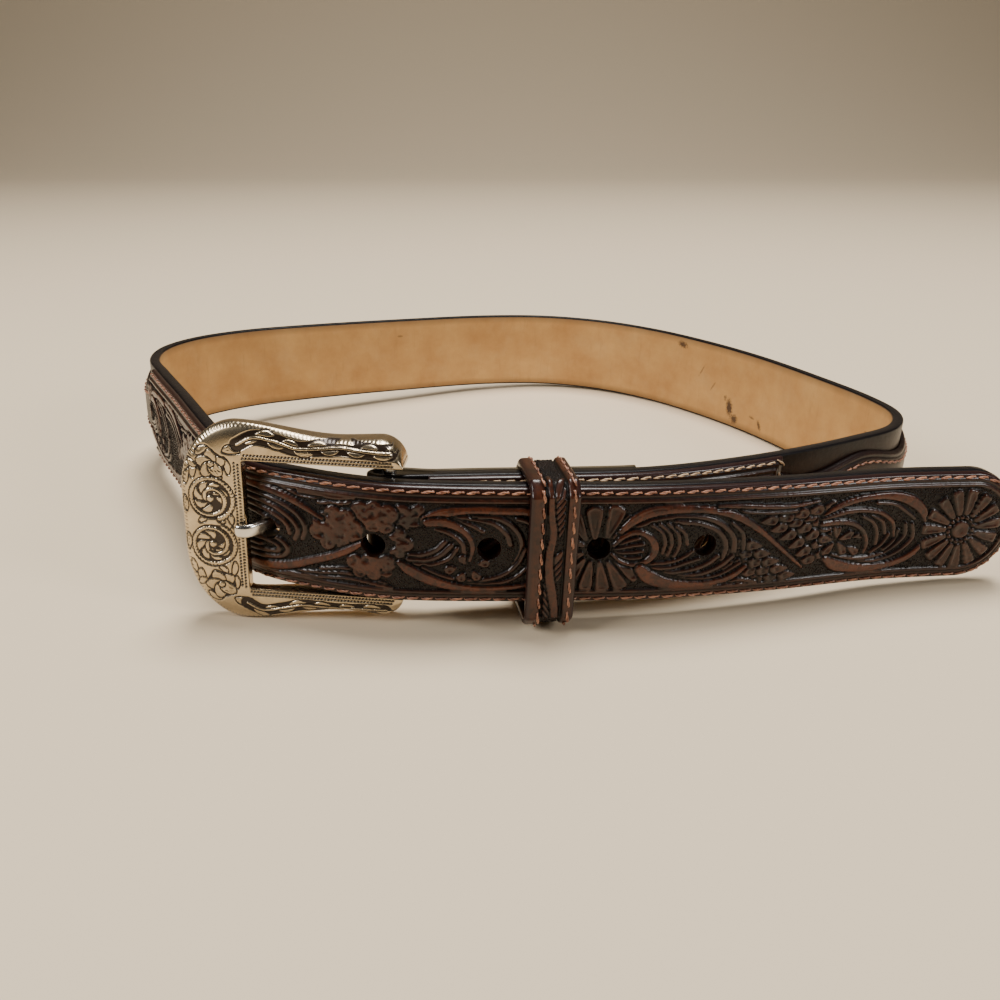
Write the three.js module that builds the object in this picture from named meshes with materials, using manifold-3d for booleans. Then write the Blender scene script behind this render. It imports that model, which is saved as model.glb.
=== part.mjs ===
// A tooled western belt, buckled into a loop and standing on its edge.
// Millimetres, +Z up. The loop is modelled flat, then leaned until the buckle's foot meets the floor.
import * as THREE from 'three';
import { mergeVertices } from 'three/addons/utils/BufferGeometryUtils.js';
import Module from 'manifold-3d';

const wasm = await Module();
wasm.setup();

// Strap and loop
const strapWidth = 29.5;
const loopWidth = 236;
const loopDepth = 196;
const clearance = 0.3;
const stationStep = 5.5;

// Leather layers, from the inside of the loop outwards
const liningThickness = 1.2;
const baseThickness = 1.5;
const overlayEdge = 1.2;
const billetCrown = 2.9;
const scallopCrown = 2.3;
const liningInset = 0.25;
const overlayInset = 0.2;

// Buckle end of the strap
const flapLength = 59.5;
const liningStart = 9;
const billetStart = 8.5;
const billetRamp = 11;
const buckleBilletLength = 91.5;

// Tip end of the strap
const holePitch = 25.4;
const holeCount = 5;
const holeBore = 5.6;
const tailLength = 86.5;
const tipRound = 14;
const tipBilletLength = 288;

// Scalloped overlay round the back
const scallopPeriod = 40;
const scallopLead = 11.4;
const scallopCrestMargin = 3.9;
const scallopTroughMargin = 6.9;
const overlayJoint = 0.6;

// Buckle
const openingEase = 3.2;
const openingLength = 33.8;
const leftBarWidth = 15.4;
const armWaist = 5.6;
const armHump = 8.8;
const frameRise = 0.9;
const armOverhang = 3.4;
const armRound = 6;
const leftBarDepth = 3;
const rimDepth = 4.6;
const armDepth = 7.8;
const frameTurn = 4;
const frameLead = 5.8;
const barRadius = 1.5;
const prongWidth = 3.3;
const prongThickness = 1.9;
const prongRise = 0.5;
const prongReach = 26.3;
const prongOverlap = 3.2;

// The frame's outline as shares of its opening's length and height
const waistShare = 0.35;
const humpShare = 1.05;
const cornerShare = 0.42;
const fullDepthShare = 0.2;
const bulbSwell = 0.65;
const openingRound = 1.5;

// The frame's section from its inner edge outwards: flat, then domed down to the rim. deep is a share of
// the depth there.
const frameSection = [
  { out: 0, deep: 1 },
  { out: 0, deep: 0 },
  { out: 0.55, deep: 0 },
  { out: 0.8, deep: 0.07 },
  { out: 0.94, deep: 0.22 },
  { out: 1, deep: 0.5 },
  { out: 1, deep: 1 },
];

// Keeper
const keeperWidth = 11.6;
const keeperFromBar = 36.1;
const keeperWall = 1.9;
const keeperRound = 3.2;
const keeperEase = 0.5;
const keeperSag = 3;

// How the buckled belt rests: it leans towards this heading, in degrees from +X
const leanHeading = 35;

const baseInner = liningThickness + clearance;
const baseOuter = baseInner + baseThickness;
const overlayInner = baseOuter + clearance;
const strapStack = overlayInner + billetCrown + clearance;
const openingHeight = strapWidth + openingEase;
const frameHeight = openingHeight + 2 * armHump;

// The strap's inner face from the bar round the loop to the tip. across and deep are shares of the
// loop's width and depth, lead counts the strap thicknesses by which the tip end lies in front.
const route = [
  { across: -0.121, deep: 0, lead: 0 },
  { across: -0.075, deep: 0.009, lead: 0 },
  { across: -0.025, deep: 0.019, lead: 0 },
  { across: 0.033, deep: 0.029, lead: 0 },
  { across: 0.142, deep: 0.053, lead: 0 },
  { across: 0.267, deep: 0.116, lead: 0 },
  { across: 0.39, deep: 0.204, lead: 0 },
  { across: 0.462, deep: 0.272, lead: 0 },
  { across: 0.486, deep: 0.34, lead: 0 },
  { across: 0.479, deep: 0.415, lead: 0 },
  { across: 0.441, deep: 0.54, lead: 0 },
  { across: 0.386, deep: 0.683, lead: 0 },
  { across: 0.324, deep: 0.797, lead: 0 },
  { across: 0.253, deep: 0.893, lead: 0 },
  { across: 0.17, deep: 0.961, lead: 0 },
  { across: 0.075, deep: 0.99, lead: 0 },
  { across: -0.03, deep: 0.971, lead: 0 },
  { across: -0.188, deep: 0.89, lead: 0 },
  { across: -0.344, deep: 0.793, lead: 0 },
  { across: -0.419, deep: 0.733, lead: 0 },
  { across: -0.473, deep: 0.659, lead: 0 },
  { across: -0.496, deep: 0.58, lead: 0 },
  { across: -0.489, deep: 0.503, lead: 0 },
  { across: -0.452, deep: 0.419, lead: 0 },
  { across: -0.395, deep: 0.3, lead: 0 },
  { across: -0.325, deep: 0.15, lead: 0 },
  { across: -0.284, deep: 0.072, lead: 0 },
  { across: -0.246, deep: 0.03, lead: 0 },
  { across: -0.196, deep: 0.0105, lead: 0.2 },
  { across: -0.15, deep: 0.004, lead: 0.5 },
  { across: -0.112, deep: 0, lead: 0.6 },
  { across: -0.067, deep: 0.0098, lead: 0.9 },
  { across: -0.017, deep: 0.0165, lead: 1 },
  { across: 0.033, deep: 0.0215, lead: 1 },
  { across: 0.142, deep: 0.036, lead: 1 },
  { across: 0.267, deep: 0.068, lead: 1 },
  { across: 0.399, deep: 0.1115, lead: 1 },
  { across: 0.525, deep: 0.137, lead: 1 },
];

function smoothLine(places) {
  return new THREE.CatmullRomCurve3(places.map(([x, y]) => new THREE.Vector3(x, y, 0)), false, 'centripetal');
}

const routeCurve = smoothLine(route.map(({ across, deep, lead }) => [
  across * loopWidth,
  deep * loopDepth - lead * strapStack,
]));
routeCurve.arcLengthDivisions = 1500;
const routeLength = routeCurve.getLength();

// A place on the strap's inner face, with its heading and its outward normal. Past the route's ends
// the strap runs on straight.
function stationAt(s) {
  const share = THREE.MathUtils.clamp(s / routeLength, 0, 1);
  const tangent = routeCurve.getTangentAt(share);
  const point = routeCurve.getPointAt(share).addScaledVector(tangent, s - share * routeLength);
  return { s, x: point.x, y: point.y, tx: tangent.x, ty: tangent.y, nx: tangent.y, ny: -tangent.x };
}

function shifted(station, outward, along = 0) {
  return {
    ...station,
    x: station.x + station.nx * outward + station.tx * along,
    y: station.y + station.ny * outward + station.ty * along,
  };
}

function stationsBetween(from, to, step = stationStep) {
  const count = Math.max(1, Math.ceil((to - from) / step));
  return Array.from({ length: count + 1 }, (_, i) => stationAt(from + ((to - from) * i) / count));
}

// Triangles and solids
function makeGeometry(positions, triangles) {
  const geometry = new THREE.BufferGeometry();
  geometry.setAttribute('position', new THREE.Float32BufferAttribute(positions, 3));
  geometry.setIndex(triangles);
  return geometry;
}

function signedVolume(positions, triangles) {
  let volume = 0;
  const corner = (i) => new THREE.Vector3().fromArray(positions, 3 * i);
  for (let i = 0; i < triangles.length; i += 3) {
    const [a, b, c] = [corner(triangles[i]), corner(triangles[i + 1]), corner(triangles[i + 2])];
    volume += a.dot(b.cross(c)) / 6;
  }
  return volume;
}

// Joins rings of equally many points into one closed body with its faces pointing out.
function loft(rings) {
  const size = rings[0].length;
  const positions = rings.flat(2);
  const triangles = [];
  for (let r = 0; r + 1 < rings.length; r += 1) {
    for (let i = 0; i < size; i += 1) {
      const next = (i + 1) % size;
      const [a, b, c, d] = [r * size + i, r * size + next, (r + 1) * size + next, (r + 1) * size + i];
      triangles.push(a, b, c, a, c, d);
    }
  }
  const last = (rings.length - 1) * size;
  for (let i = 1; i + 1 < size; i += 1) {
    triangles.push(0, i + 1, i);
    triangles.push(last, last + i, last + i + 1);
  }
  if (signedVolume(positions, triangles) < 0) {
    triangles.reverse();
  }
  return makeGeometry(positions, triangles);
}

// A band along the strap: sectionAt gives, for each station, points as [outward, height].
function band(stations, sectionAt) {
  return loft(stations.map((station) => sectionAt(station).map(([outward, height]) => [
    station.x + station.nx * outward,
    station.y + station.ny * outward,
    height,
  ])));
}

function toSolid(geometry) {
  const plain = geometry.clone();
  plain.deleteAttribute('normal');
  plain.deleteAttribute('uv');
  const merged = mergeVertices(plain, 1e-4);
  return new wasm.Manifold(new wasm.Mesh({
    numProp: 3,
    vertProperties: new Float32Array(merged.attributes.position.array),
    triVerts: new Uint32Array(merged.index.array),
  }));
}

function fromSolid(solid) {
  const { vertProperties, triVerts } = solid.getMesh();
  return makeGeometry(Array.from(vertProperties), Array.from(triVerts));
}

// Where things lie along the strap
const barX = route[0].across * loopWidth;
const barStation = shifted(stationAt(0), baseInner - barRadius - clearance);
const foldRadius = barRadius + clearance + baseThickness / 2;

function tipStationAtX(x) {
  let s = routeLength;
  while (stationAt(s).x > x) {
    s -= 0.1;
  }
  return s;
}

const usedHole = tipStationAtX(barX - prongReach);
const holeStations = Array.from({ length: holeCount }, (_, i) => usedHole + holePitch * i);
const strapEnd = holeStations[holeCount - 1] + tailLength;
const tipBilletStart = strapEnd - tipBilletLength;
const buckleBilletEnd = billetStart + buckleBilletLength;

// Half the strap's height at s, with a half-elliptic tip, less an inset all round.
function halfHeightAt(s, inset) {
  const into = THREE.MathUtils.clamp((s - (strapEnd - tipRound)) / (tipRound - inset), 0, 1);
  return (strapWidth / 2 - inset) * Math.sqrt(1 - into * into);
}

// Stations of a layer that reaches the tip, closer together round the tip.
function tipStations(from, inset) {
  const body = stationsBetween(from, strapEnd - tipRound);
  const tipSteps = 8;
  for (let i = 1; i <= tipSteps; i += 1) {
    const angle = (i / tipSteps) * THREE.MathUtils.degToRad(84);
    body.push(stationAt(strapEnd - tipRound + (tipRound - inset) * Math.sin(angle)));
  }
  return body;
}

function flatSection(inner, outer, inset) {
  return ({ s }) => {
    const half = halfHeightAt(s, inset);
    const [low, high] = [strapWidth / 2 - half, strapWidth / 2 + half];
    return [[inner, low], [outer, low], [outer, high], [inner, high]];
  };
}

// A padded layer: thin at its edges, crowned in the middle.
function crownedSection(halfAt, crownAt) {
  const crownSteps = 6;
  return ({ s }) => {
    const half = halfAt(s);
    const section = [[overlayInner, strapWidth / 2 - half]];
    for (let i = 0; i <= crownSteps; i += 1) {
      const across = (2 * i) / crownSteps - 1;
      const swell = (crownAt(s) - overlayEdge) * (1 - across * across * across * across);
      section.push([overlayInner + overlayEdge + swell, strapWidth / 2 + across * half]);
    }
    section.push([overlayInner, strapWidth / 2 + half]);
    return section;
  };
}

// A short cylinder across the strap at s, from one depth to another.
function punchAt(s, inner, outer) {
  const station = shifted(stationAt(s), (inner + outer) / 2);
  const punch = new THREE.CylinderGeometry(holeBore / 2, holeBore / 2, outer - inner + 2 * clearance, 20);
  punch.rotateZ(Math.atan2(station.ny, station.nx) - Math.PI / 2);
  punch.translate(station.x, station.y, strapWidth / 2);
  return toSolid(punch);
}

function punched(geometry, inner, outer) {
  const punches = holeStations.map((s) => punchAt(s, inner, outer));
  return fromSolid(punches.reduce((solid, punch) => solid.subtract(punch), toSolid(geometry)));
}

// The flap behind the buckle end, nearest its free end first, closing up on the lining past the bar.
function flapStations() {
  const flapClose = 11;
  const nearBar = baseInner - barRadius - clearance - foldRadius;
  const nearLining = -(clearance + baseThickness / 2);
  return stationsBetween(0, flapLength).reverse().map((station) => {
    const closed = THREE.MathUtils.smoothstep(station.s, 0, flapClose);
    const outward = THREE.MathUtils.lerp(nearBar, nearLining, closed);
    return { ...shifted(station, outward), nx: -station.nx, ny: -station.ny };
  });
}

// The half turn round the bar, from the flap to the front.
function foldStations() {
  const foldSteps = 10;
  return Array.from({ length: foldSteps - 1 }, (_, i) => {
    const angle = ((i + 1) / foldSteps) * Math.PI;
    const nx = -Math.cos(angle) * barStation.nx - Math.sin(angle) * barStation.tx;
    const ny = -Math.cos(angle) * barStation.ny - Math.sin(angle) * barStation.ty;
    return { s: 0, nx, ny, x: barStation.x + nx * foldRadius, y: barStation.y + ny * foldRadius };
  });
}

function prongSlot() {
  const reach = foldRadius + baseThickness / 2 + clearance;
  const slot = new THREE.BoxGeometry(3 * reach, 2 * reach - clearance, prongWidth + 2 * clearance);
  slot.translate(0.3 * reach, 0, 0);
  slot.rotateZ(Math.atan2(barStation.ty, barStation.tx));
  slot.translate(barStation.x, barStation.y, strapWidth / 2 + prongRise);
  return toSolid(slot);
}

function makeStrap() {
  const front = tipStations(0, 0).map((station) => shifted(station, (baseInner + baseOuter) / 2));
  const half = baseThickness / 2;
  const leather = band([...flapStations(), ...foldStations(), ...front], flatSection(-half, half, 0));
  const slotted = fromSolid(toSolid(leather).subtract(prongSlot()));
  return punched(slotted, baseInner, baseOuter);
}

function makeLining() {
  const lining = band(tipStations(liningStart, liningInset), flatSection(0, liningThickness, liningInset));
  return punched(lining, 0, liningThickness);
}

function makeTipBillet() {
  const section = crownedSection((s) => halfHeightAt(s, overlayInset), () => billetCrown);
  const billet = band(tipStations(tipBilletStart, overlayInset), section);
  return punched(billet, overlayInner, overlayInner + billetCrown);
}

function makeBuckleBillet() {
  const crownAt = (s) => THREE.MathUtils.lerp(
    overlayEdge,
    billetCrown,
    THREE.MathUtils.smoothstep(s, billetStart, billetStart + billetRamp),
  );
  const section = crownedSection(() => strapWidth / 2 - overlayInset, crownAt);
  return band(stationsBetween(billetStart, buckleBilletEnd, 4), section);
}

// A smooth padded overlay whose two edges run in even waves from one billet to the other, with their
// first and last troughs a little inside its ends.
function makeScallopedOverlay() {
  const from = buckleBilletEnd + overlayJoint;
  const to = tipBilletStart - overlayJoint;
  const span = to - from - 2 * scallopLead;
  const waves = Math.max(1, Math.round(span / scallopPeriod));
  const halfAt = (s) => {
    const wave = Math.cos((2 * Math.PI * waves * (s - from - scallopLead)) / span);
    const trough = (1 + wave) / 2;
    return strapWidth / 2 - THREE.MathUtils.lerp(scallopCrestMargin, scallopTroughMargin, trough);
  };
  return band(stationsBetween(from, to, scallopPeriod / 9), crownedSection(halfAt, () => scallopCrown));
}

// The frame's own axes: p runs along the strap from the bar, q is depth from the front face, w is height
// from the strap's middle.
function fromFrame(p, q, w) {
  const turn = THREE.MathUtils.degToRad(frameTurn);
  return [
    barX + p * Math.cos(turn) + q * Math.sin(turn),
    -frameLead - p * Math.sin(turn) + q * Math.cos(turn),
    strapWidth / 2 + frameRise + w,
  ];
}

// Half the height of an arm's outer edge at p: a bulb at the bar, a waist, then a hump at the corner.
function armEdge(p) {
  const [waist, hump] = [openingHeight / 2 + armWaist, frameHeight / 2];
  const rise = THREE.MathUtils.smoothstep(-p, openingLength * waistShare, openingLength * humpShare);
  const bulb = bulbSwell * (1 - THREE.MathUtils.smoothstep(-p, 0, openingLength * waistShare));
  const edge = waist + bulb + (hump - waist) * rise;
  const end = THREE.MathUtils.clamp((p - armOverhang + armRound) / armRound, 0, 0.97);
  const inner = openingHeight / 2;
  return inner + (edge - inner) * Math.sqrt(1 - end * end);
}

// Ribs stand a little closer together at the arm's rounded end.
function armSpread(share) {
  return share * (0.65 + 0.35 * share);
}

// Pairs of inner and outer edge points round the C, from the upper arm's end to the lower arm's.
function frameRibs() {
  const ribs = [];
  const [armSteps, cornerSteps, barSteps] = [14, 8, 4];
  const inner = openingHeight / 2;
  const cornerP = -openingLength * humpShare;
  const outerLeft = -openingLength - leftBarWidth;
  const cornerW = inner * cornerShare;
  for (let i = 0; i <= armSteps; i += 1) {
    const p = THREE.MathUtils.lerp(armOverhang, openingRound - openingLength, armSpread(i / armSteps));
    ribs.push({ inner: [p, inner], outer: [p, armEdge(p)] });
  }
  for (let i = 0; i <= cornerSteps; i += 1) {
    const angle = (i / cornerSteps) * (Math.PI / 2);
    const outer = [
      cornerP + (outerLeft - cornerP) * Math.sin(angle),
      cornerW + (frameHeight / 2 - cornerW) * Math.cos(angle),
    ];
    const height = THREE.MathUtils.lerp(inner - openingRound / 3, cornerW, i / cornerSteps);
    ribs.push({ inner: [-openingLength, height], outer });
  }
  for (let i = 1; i <= barSteps; i += 1) {
    const w = cornerW * (1 - i / barSteps);
    ribs.push({ inner: [-openingLength, w], outer: [outerLeft, w] });
  }
  const flip = ({ inner: [p, w], outer: [op, ow] }) => ({ inner: [p, -w], outer: [op, -ow] });
  return [...ribs, ...ribs.slice(0, -1).reverse().map(flip)];
}

function makeFrame() {
  const rings = frameRibs().map(({ inner, outer }) => {
    const reach = THREE.MathUtils.smoothstep(inner[0], -openingLength, -openingLength * fullDepthShare);
    const innerDepth = THREE.MathUtils.lerp(leftBarDepth, armDepth, reach);
    const outerDepth = THREE.MathUtils.lerp(rimDepth, armDepth, reach);
    return frameSection.map(({ out, deep }) => fromFrame(
      THREE.MathUtils.lerp(inner[0], outer[0], out),
      deep * THREE.MathUtils.lerp(innerDepth, outerDepth, out),
      THREE.MathUtils.lerp(inner[1], outer[1], out),
    ));
  });
  return loft(rings);
}

function makeBar() {
  const bar = new THREE.CylinderGeometry(barRadius, barRadius, openingHeight - 2 * clearance, 20);
  bar.rotateX(Math.PI / 2);
  bar.translate(barStation.x, barStation.y, strapWidth / 2 + frameRise);
  return bar;
}

// The prong seen from above: out of its loop round the bar, along behind the strap, through the hole in
// use and over the frame's left bar.
function makeProng() {
  const half = prongThickness / 2;
  const hole = stationAt(usedHole);
  const total = strapStack - clearance;
  const [restX, restY] = fromFrame(-openingLength - prongOverlap + half, -clearance - half, 0);
  const [lipX, lipY] = fromFrame(-openingLength + half, -clearance - half, 0);
  const behind = shifted(stationAt(usedHole + holePitch * 0.3), -clearance - half);
  const places = [
    [barStation.x + half, barStation.y + foldRadius],
    [barStation.x - 2 * barRadius, barStation.y + foldRadius],
    [behind.x, behind.y],
    [shifted(hole, -half, half).x, shifted(hole, -half, half).y],
    [shifted(hole, total / 2).x, shifted(hole, total / 2).y],
    [lipX, lipY],
    [restX, restY],
  ];
  const line = smoothLine(places);
  const steps = 26;
  const [left, right] = [[], []];
  for (let i = 0; i <= steps; i += 1) {
    const point = line.getPointAt(i / steps);
    const tangent = line.getTangentAt(i / steps);
    left.push(new THREE.Vector2(point.x - tangent.y * half, point.y + tangent.x * half));
    right.push(new THREE.Vector2(point.x + tangent.y * half, point.y - tangent.x * half));
  }
  const heading = line.getTangentAt(1);
  const turn = Math.atan2(heading.y, heading.x);
  const tip = [-0.35, -0.2, 0, 0.2, 0.35].map((share) => {
    const angle = turn + share * Math.PI;
    return new THREE.Vector2(restX + Math.cos(angle) * half, restY + Math.sin(angle) * half);
  });
  const shank = new THREE.ExtrudeGeometry(new THREE.Shape([...right, ...tip, ...left.reverse()]), {
    depth: prongWidth,
    bevelEnabled: false,
  });
  const ring = new THREE.Shape();
  ring.absarc(barStation.x, barStation.y, foldRadius + baseThickness / 2, 0, 2 * Math.PI);
  const eye = new THREE.Path();
  eye.absarc(barStation.x, barStation.y, barRadius + clearance, 0, 2 * Math.PI, true);
  ring.holes.push(eye);
  const loop = new THREE.ExtrudeGeometry(ring, { depth: prongWidth, bevelEnabled: false, curveSegments: 14 });
  const borer = new THREE.CylinderGeometry(barRadius + clearance, barRadius + clearance, 3 * prongWidth, 28);
  borer.rotateX(Math.PI / 2);
  borer.translate(barStation.x, barStation.y, 0);
  const prong = fromSolid(toSolid(shank).add(toSolid(loop)).subtract(toSolid(borer)));
  prong.translate(0, 0, (strapWidth - prongWidth) / 2 + prongRise);
  return prong;
}

// A loop of leather round both straps and the flap, sized to what passes through it.
function makeKeeper() {
  const middle = stationAt(keeperFromBar);
  const depthOf = ({ x, y }) => (x - middle.x) * middle.nx + (y - middle.y) * middle.ny;
  const alongOf = ({ x, y }) => (x - middle.x) * middle.tx + (y - middle.y) * middle.ty;
  const inside = (station) => Math.abs(alongOf(station)) < keeperWidth / 2 + 2;
  const near = stationsBetween(0, 2 * keeperFromBar, 1).filter(inside);
  const far = stationsBetween(usedHole, strapEnd, 1).filter(inside);
  const innerMost = Math.min(...near.map((station) => depthOf(shifted(station, -clearance - baseThickness))));
  const outerMost = Math.max(...far.map((station) => depthOf(shifted(station, strapStack - clearance))));
  const [back, front] = [innerMost - clearance, outerMost + clearance];
  const [low, high] = [-keeperSag, strapWidth + keeperEase];
  const rounded = (shape, x0, y0, x1, y1, r) => {
    shape.moveTo(x0 + r, y0);
    shape.lineTo(x1 - r, y0);
    shape.absarc(x1 - r, y0 + r, r, -Math.PI / 2, 0);
    shape.lineTo(x1, y1 - r);
    shape.absarc(x1 - r, y1 - r, r, 0, Math.PI / 2);
    shape.lineTo(x0 + r, y1);
    shape.absarc(x0 + r, y1 - r, r, Math.PI / 2, Math.PI);
    shape.lineTo(x0, y0 + r);
    shape.absarc(x0 + r, y0 + r, r, Math.PI, 1.5 * Math.PI);
    return shape;
  };
  const w = keeperWall;
  const outline = rounded(new THREE.Shape(), back - w, low - w, front + w, high + w, keeperRound);
  outline.holes.push(rounded(new THREE.Path(), back, low, front, high, keeperEase));
  const keeper = new THREE.ExtrudeGeometry(outline, {
    depth: keeperWidth,
    bevelEnabled: false,
    curveSegments: 6,
  });
  keeper.translate(0, 0, -keeperWidth / 2);
  const axes = new THREE.Matrix4().makeBasis(
    new THREE.Vector3(middle.nx, middle.ny, 0),
    new THREE.Vector3(0, 0, 1),
    new THREE.Vector3(-middle.tx, -middle.ty, 0),
  );
  keeper.applyMatrix4(axes);
  keeper.translate(middle.x, middle.y, 0);
  return keeper;
}

const leather = { roughness: 0.42, metalness: 0 };
const silver = { color: 0xb8b4aa, roughness: 0.28, metalness: 0.95 };

function addPiece(group, name, geometry, material) {
  const mesh = new THREE.Mesh(geometry, new THREE.MeshStandardMaterial(material));
  mesh.name = name;
  group.add(mesh);
}

const loop = new THREE.Group();
addPiece(loop, 'strap_outer', makeStrap(), { ...leather, color: 0x2a1712 });
addPiece(loop, 'strap_lining', makeLining(), { color: 0xb98a4f, roughness: 0.8, metalness: 0 });
addPiece(loop, 'tip_billet', makeTipBillet(), { ...leather, color: 0x3a1d14 });
addPiece(loop, 'buckle_billet', makeBuckleBillet(), { ...leather, color: 0x3a1d14 });
addPiece(loop, 'scalloped_overlay', makeScallopedOverlay(), { ...leather, color: 0x33190f });
addPiece(loop, 'keeper', makeKeeper(), { ...leather, color: 0x3a1d14 });
addPiece(loop, 'buckle_frame', makeFrame(), silver);
addPiece(loop, 'buckle_bar', makeBar(), silver);
addPiece(loop, 'prong', makeProng(), silver);

// The lean that brings the buckle's foot and the far side of the strap to one floor.
const heading = THREE.MathUtils.degToRad(leanHeading);
const towards = new THREE.Vector3(Math.cos(heading), Math.sin(heading), 0);
const far = stationsBetween(0, strapEnd, 2).map((station) => shifted(station, baseOuter));
const farReach = Math.max(...far.map(({ x, y }) => x * towards.x + y * towards.y));
const foot = new THREE.Vector3(...fromFrame(-openingLength, rimDepth, -frameHeight / 2));
const lean = Math.atan2(-foot.z, farReach - foot.dot(towards));
loop.quaternion.setFromAxisAngle(new THREE.Vector3(-towards.y, towards.x, 0), lean);

const group = new THREE.Group();
group.add(loop);
group.updateMatrixWorld(true);
const box = new THREE.Box3().setFromObject(group, true);
group.position.set(-(box.min.x + box.max.x) / 2, -(box.min.y + box.max.y) / 2, -box.min.z);

export default group;
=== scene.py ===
import math

import bmesh
import bpy
import numpy as np
from mathutils import Matrix, Vector


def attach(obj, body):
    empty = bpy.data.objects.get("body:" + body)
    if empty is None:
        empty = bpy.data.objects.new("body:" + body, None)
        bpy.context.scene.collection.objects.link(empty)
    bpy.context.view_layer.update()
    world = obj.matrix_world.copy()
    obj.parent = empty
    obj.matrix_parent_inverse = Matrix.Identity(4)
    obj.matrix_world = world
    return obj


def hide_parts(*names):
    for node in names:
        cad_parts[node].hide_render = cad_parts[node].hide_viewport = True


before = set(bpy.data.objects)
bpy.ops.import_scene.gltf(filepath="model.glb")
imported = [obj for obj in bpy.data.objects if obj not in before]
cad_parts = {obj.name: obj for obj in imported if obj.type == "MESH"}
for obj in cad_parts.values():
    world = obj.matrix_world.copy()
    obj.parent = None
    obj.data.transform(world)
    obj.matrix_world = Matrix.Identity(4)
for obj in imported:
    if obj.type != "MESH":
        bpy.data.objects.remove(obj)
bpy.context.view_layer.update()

# The set.
# The belt stands on its edge on a plain pale floor, seen from a little above and in front of the
# buckle, under a wide soft lamp overhead and a weaker one from each side.
MM = 0.001
PHOTO_WIDTH = 1000
FOCAL_PIXELS = 924
SENSOR = 36
CAMERA_PLACE = (-6.1, -292.8, 118.2)
CAMERA_DOWN = 23.73


def in_scene(name, data):
    """A new object in the scene."""
    made = bpy.data.objects.new(name, data)
    bpy.context.collection.objects.link(made)
    return made


camera = in_scene("camera", bpy.data.cameras.new("camera"))
camera.data.sensor_width = SENSOR
camera.data.lens = FOCAL_PIXELS / PHOTO_WIDTH * SENSOR
camera.data.clip_start = 0.01
camera.location = [c * MM for c in CAMERA_PLACE]
camera.rotation_euler = (math.radians(90 - CAMERA_DOWN), 0, 0)
bpy.context.scene.camera = camera


def new_paint(name):
    """A new material with its node tree and its Principled shader."""
    material = bpy.data.materials.new(name)
    material.use_nodes = True
    tree = material.node_tree
    return material, tree, tree.nodes["Principled BSDF"]


def feed(tree, node, inputs):
    """Gives a node's inputs, by name or place, each a value or another node's socket."""
    for key, value in inputs.items():
        if isinstance(value, bpy.types.NodeSocket):
            tree.links.new(value, node.inputs[key])
        else:
            node.inputs[key].default_value = value


def add_node(tree, kind, inputs=(), **settings):
    """A node with its settings and what its inputs are fed."""
    node = tree.nodes.new(kind)
    for key, value in settings.items():
        setattr(node, key, value)
    feed(tree, node, dict(inputs))
    return node


def soft_lamp(name, place, aim, side, watts, color):
    """A square soft lamp that points from its place to its aim."""
    data = bpy.data.lights.new(name, "AREA")
    data.size = side
    data.energy = watts
    data.color = color
    lamp = in_scene(name, data)
    lamp.location = place
    lamp.rotation_euler = (Vector(aim) - Vector(place)).to_track_quat("-Z", "Y").to_euler()


soft_lamp("lamp_overhead", (0.1, 0.25, 1.3), (0, -0.02, 0), 0.6, 25, (1.0, 0.97, 0.93))
soft_lamp("lamp_left", (-0.9, -0.5, 0.7), (0, -0.05, 0.02), 0.4, 8, (1.0, 0.98, 0.96))
soft_lamp("lamp_right", (0.8, -0.5, 0.45), (0, -0.05, 0.02), 0.25, 3.5, (1.0, 0.98, 0.96))

world = bpy.data.worlds.new("studio")
world.use_nodes = True
world_tree = world.node_tree
feed(world_tree, world_tree.nodes["Background"], {"Color": (0.93, 0.91, 0.88, 1), "Strength": 0.06})
bpy.context.scene.world = world


def sweep(reach, back, rise, bend, steps=12):
    """A floor that bends up behind the belt into a wall, as one sheet."""
    turn = np.linspace(0, math.pi / 2, steps + 1)
    deep = [-reach, *(back + bend * np.sin(turn)), back + bend]
    high = [0, *(bend * (1 - np.cos(turn))), rise]
    places = [(side * reach, y, z) for y, z in zip(deep, high) for side in (-1, 1)]
    faces = [(2 * i, 2 * i + 1, 2 * i + 3, 2 * i + 2) for i in range(len(deep) - 1)]
    mesh = bpy.data.meshes.new("floor")
    mesh.from_pydata(places, [], faces)
    mesh.shade_smooth()
    return in_scene("floor", mesh)


floor = sweep(3.0, 1.2, 2.4, 0.9)
floor_paint, floor_tree, floor_shader = new_paint("floor_paint")
feed(floor_tree, floor_shader, {"Base Color": (0.78, 0.64, 0.45, 1), "Roughness": 0.8})
floor.data.materials.append(floor_paint)

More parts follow.
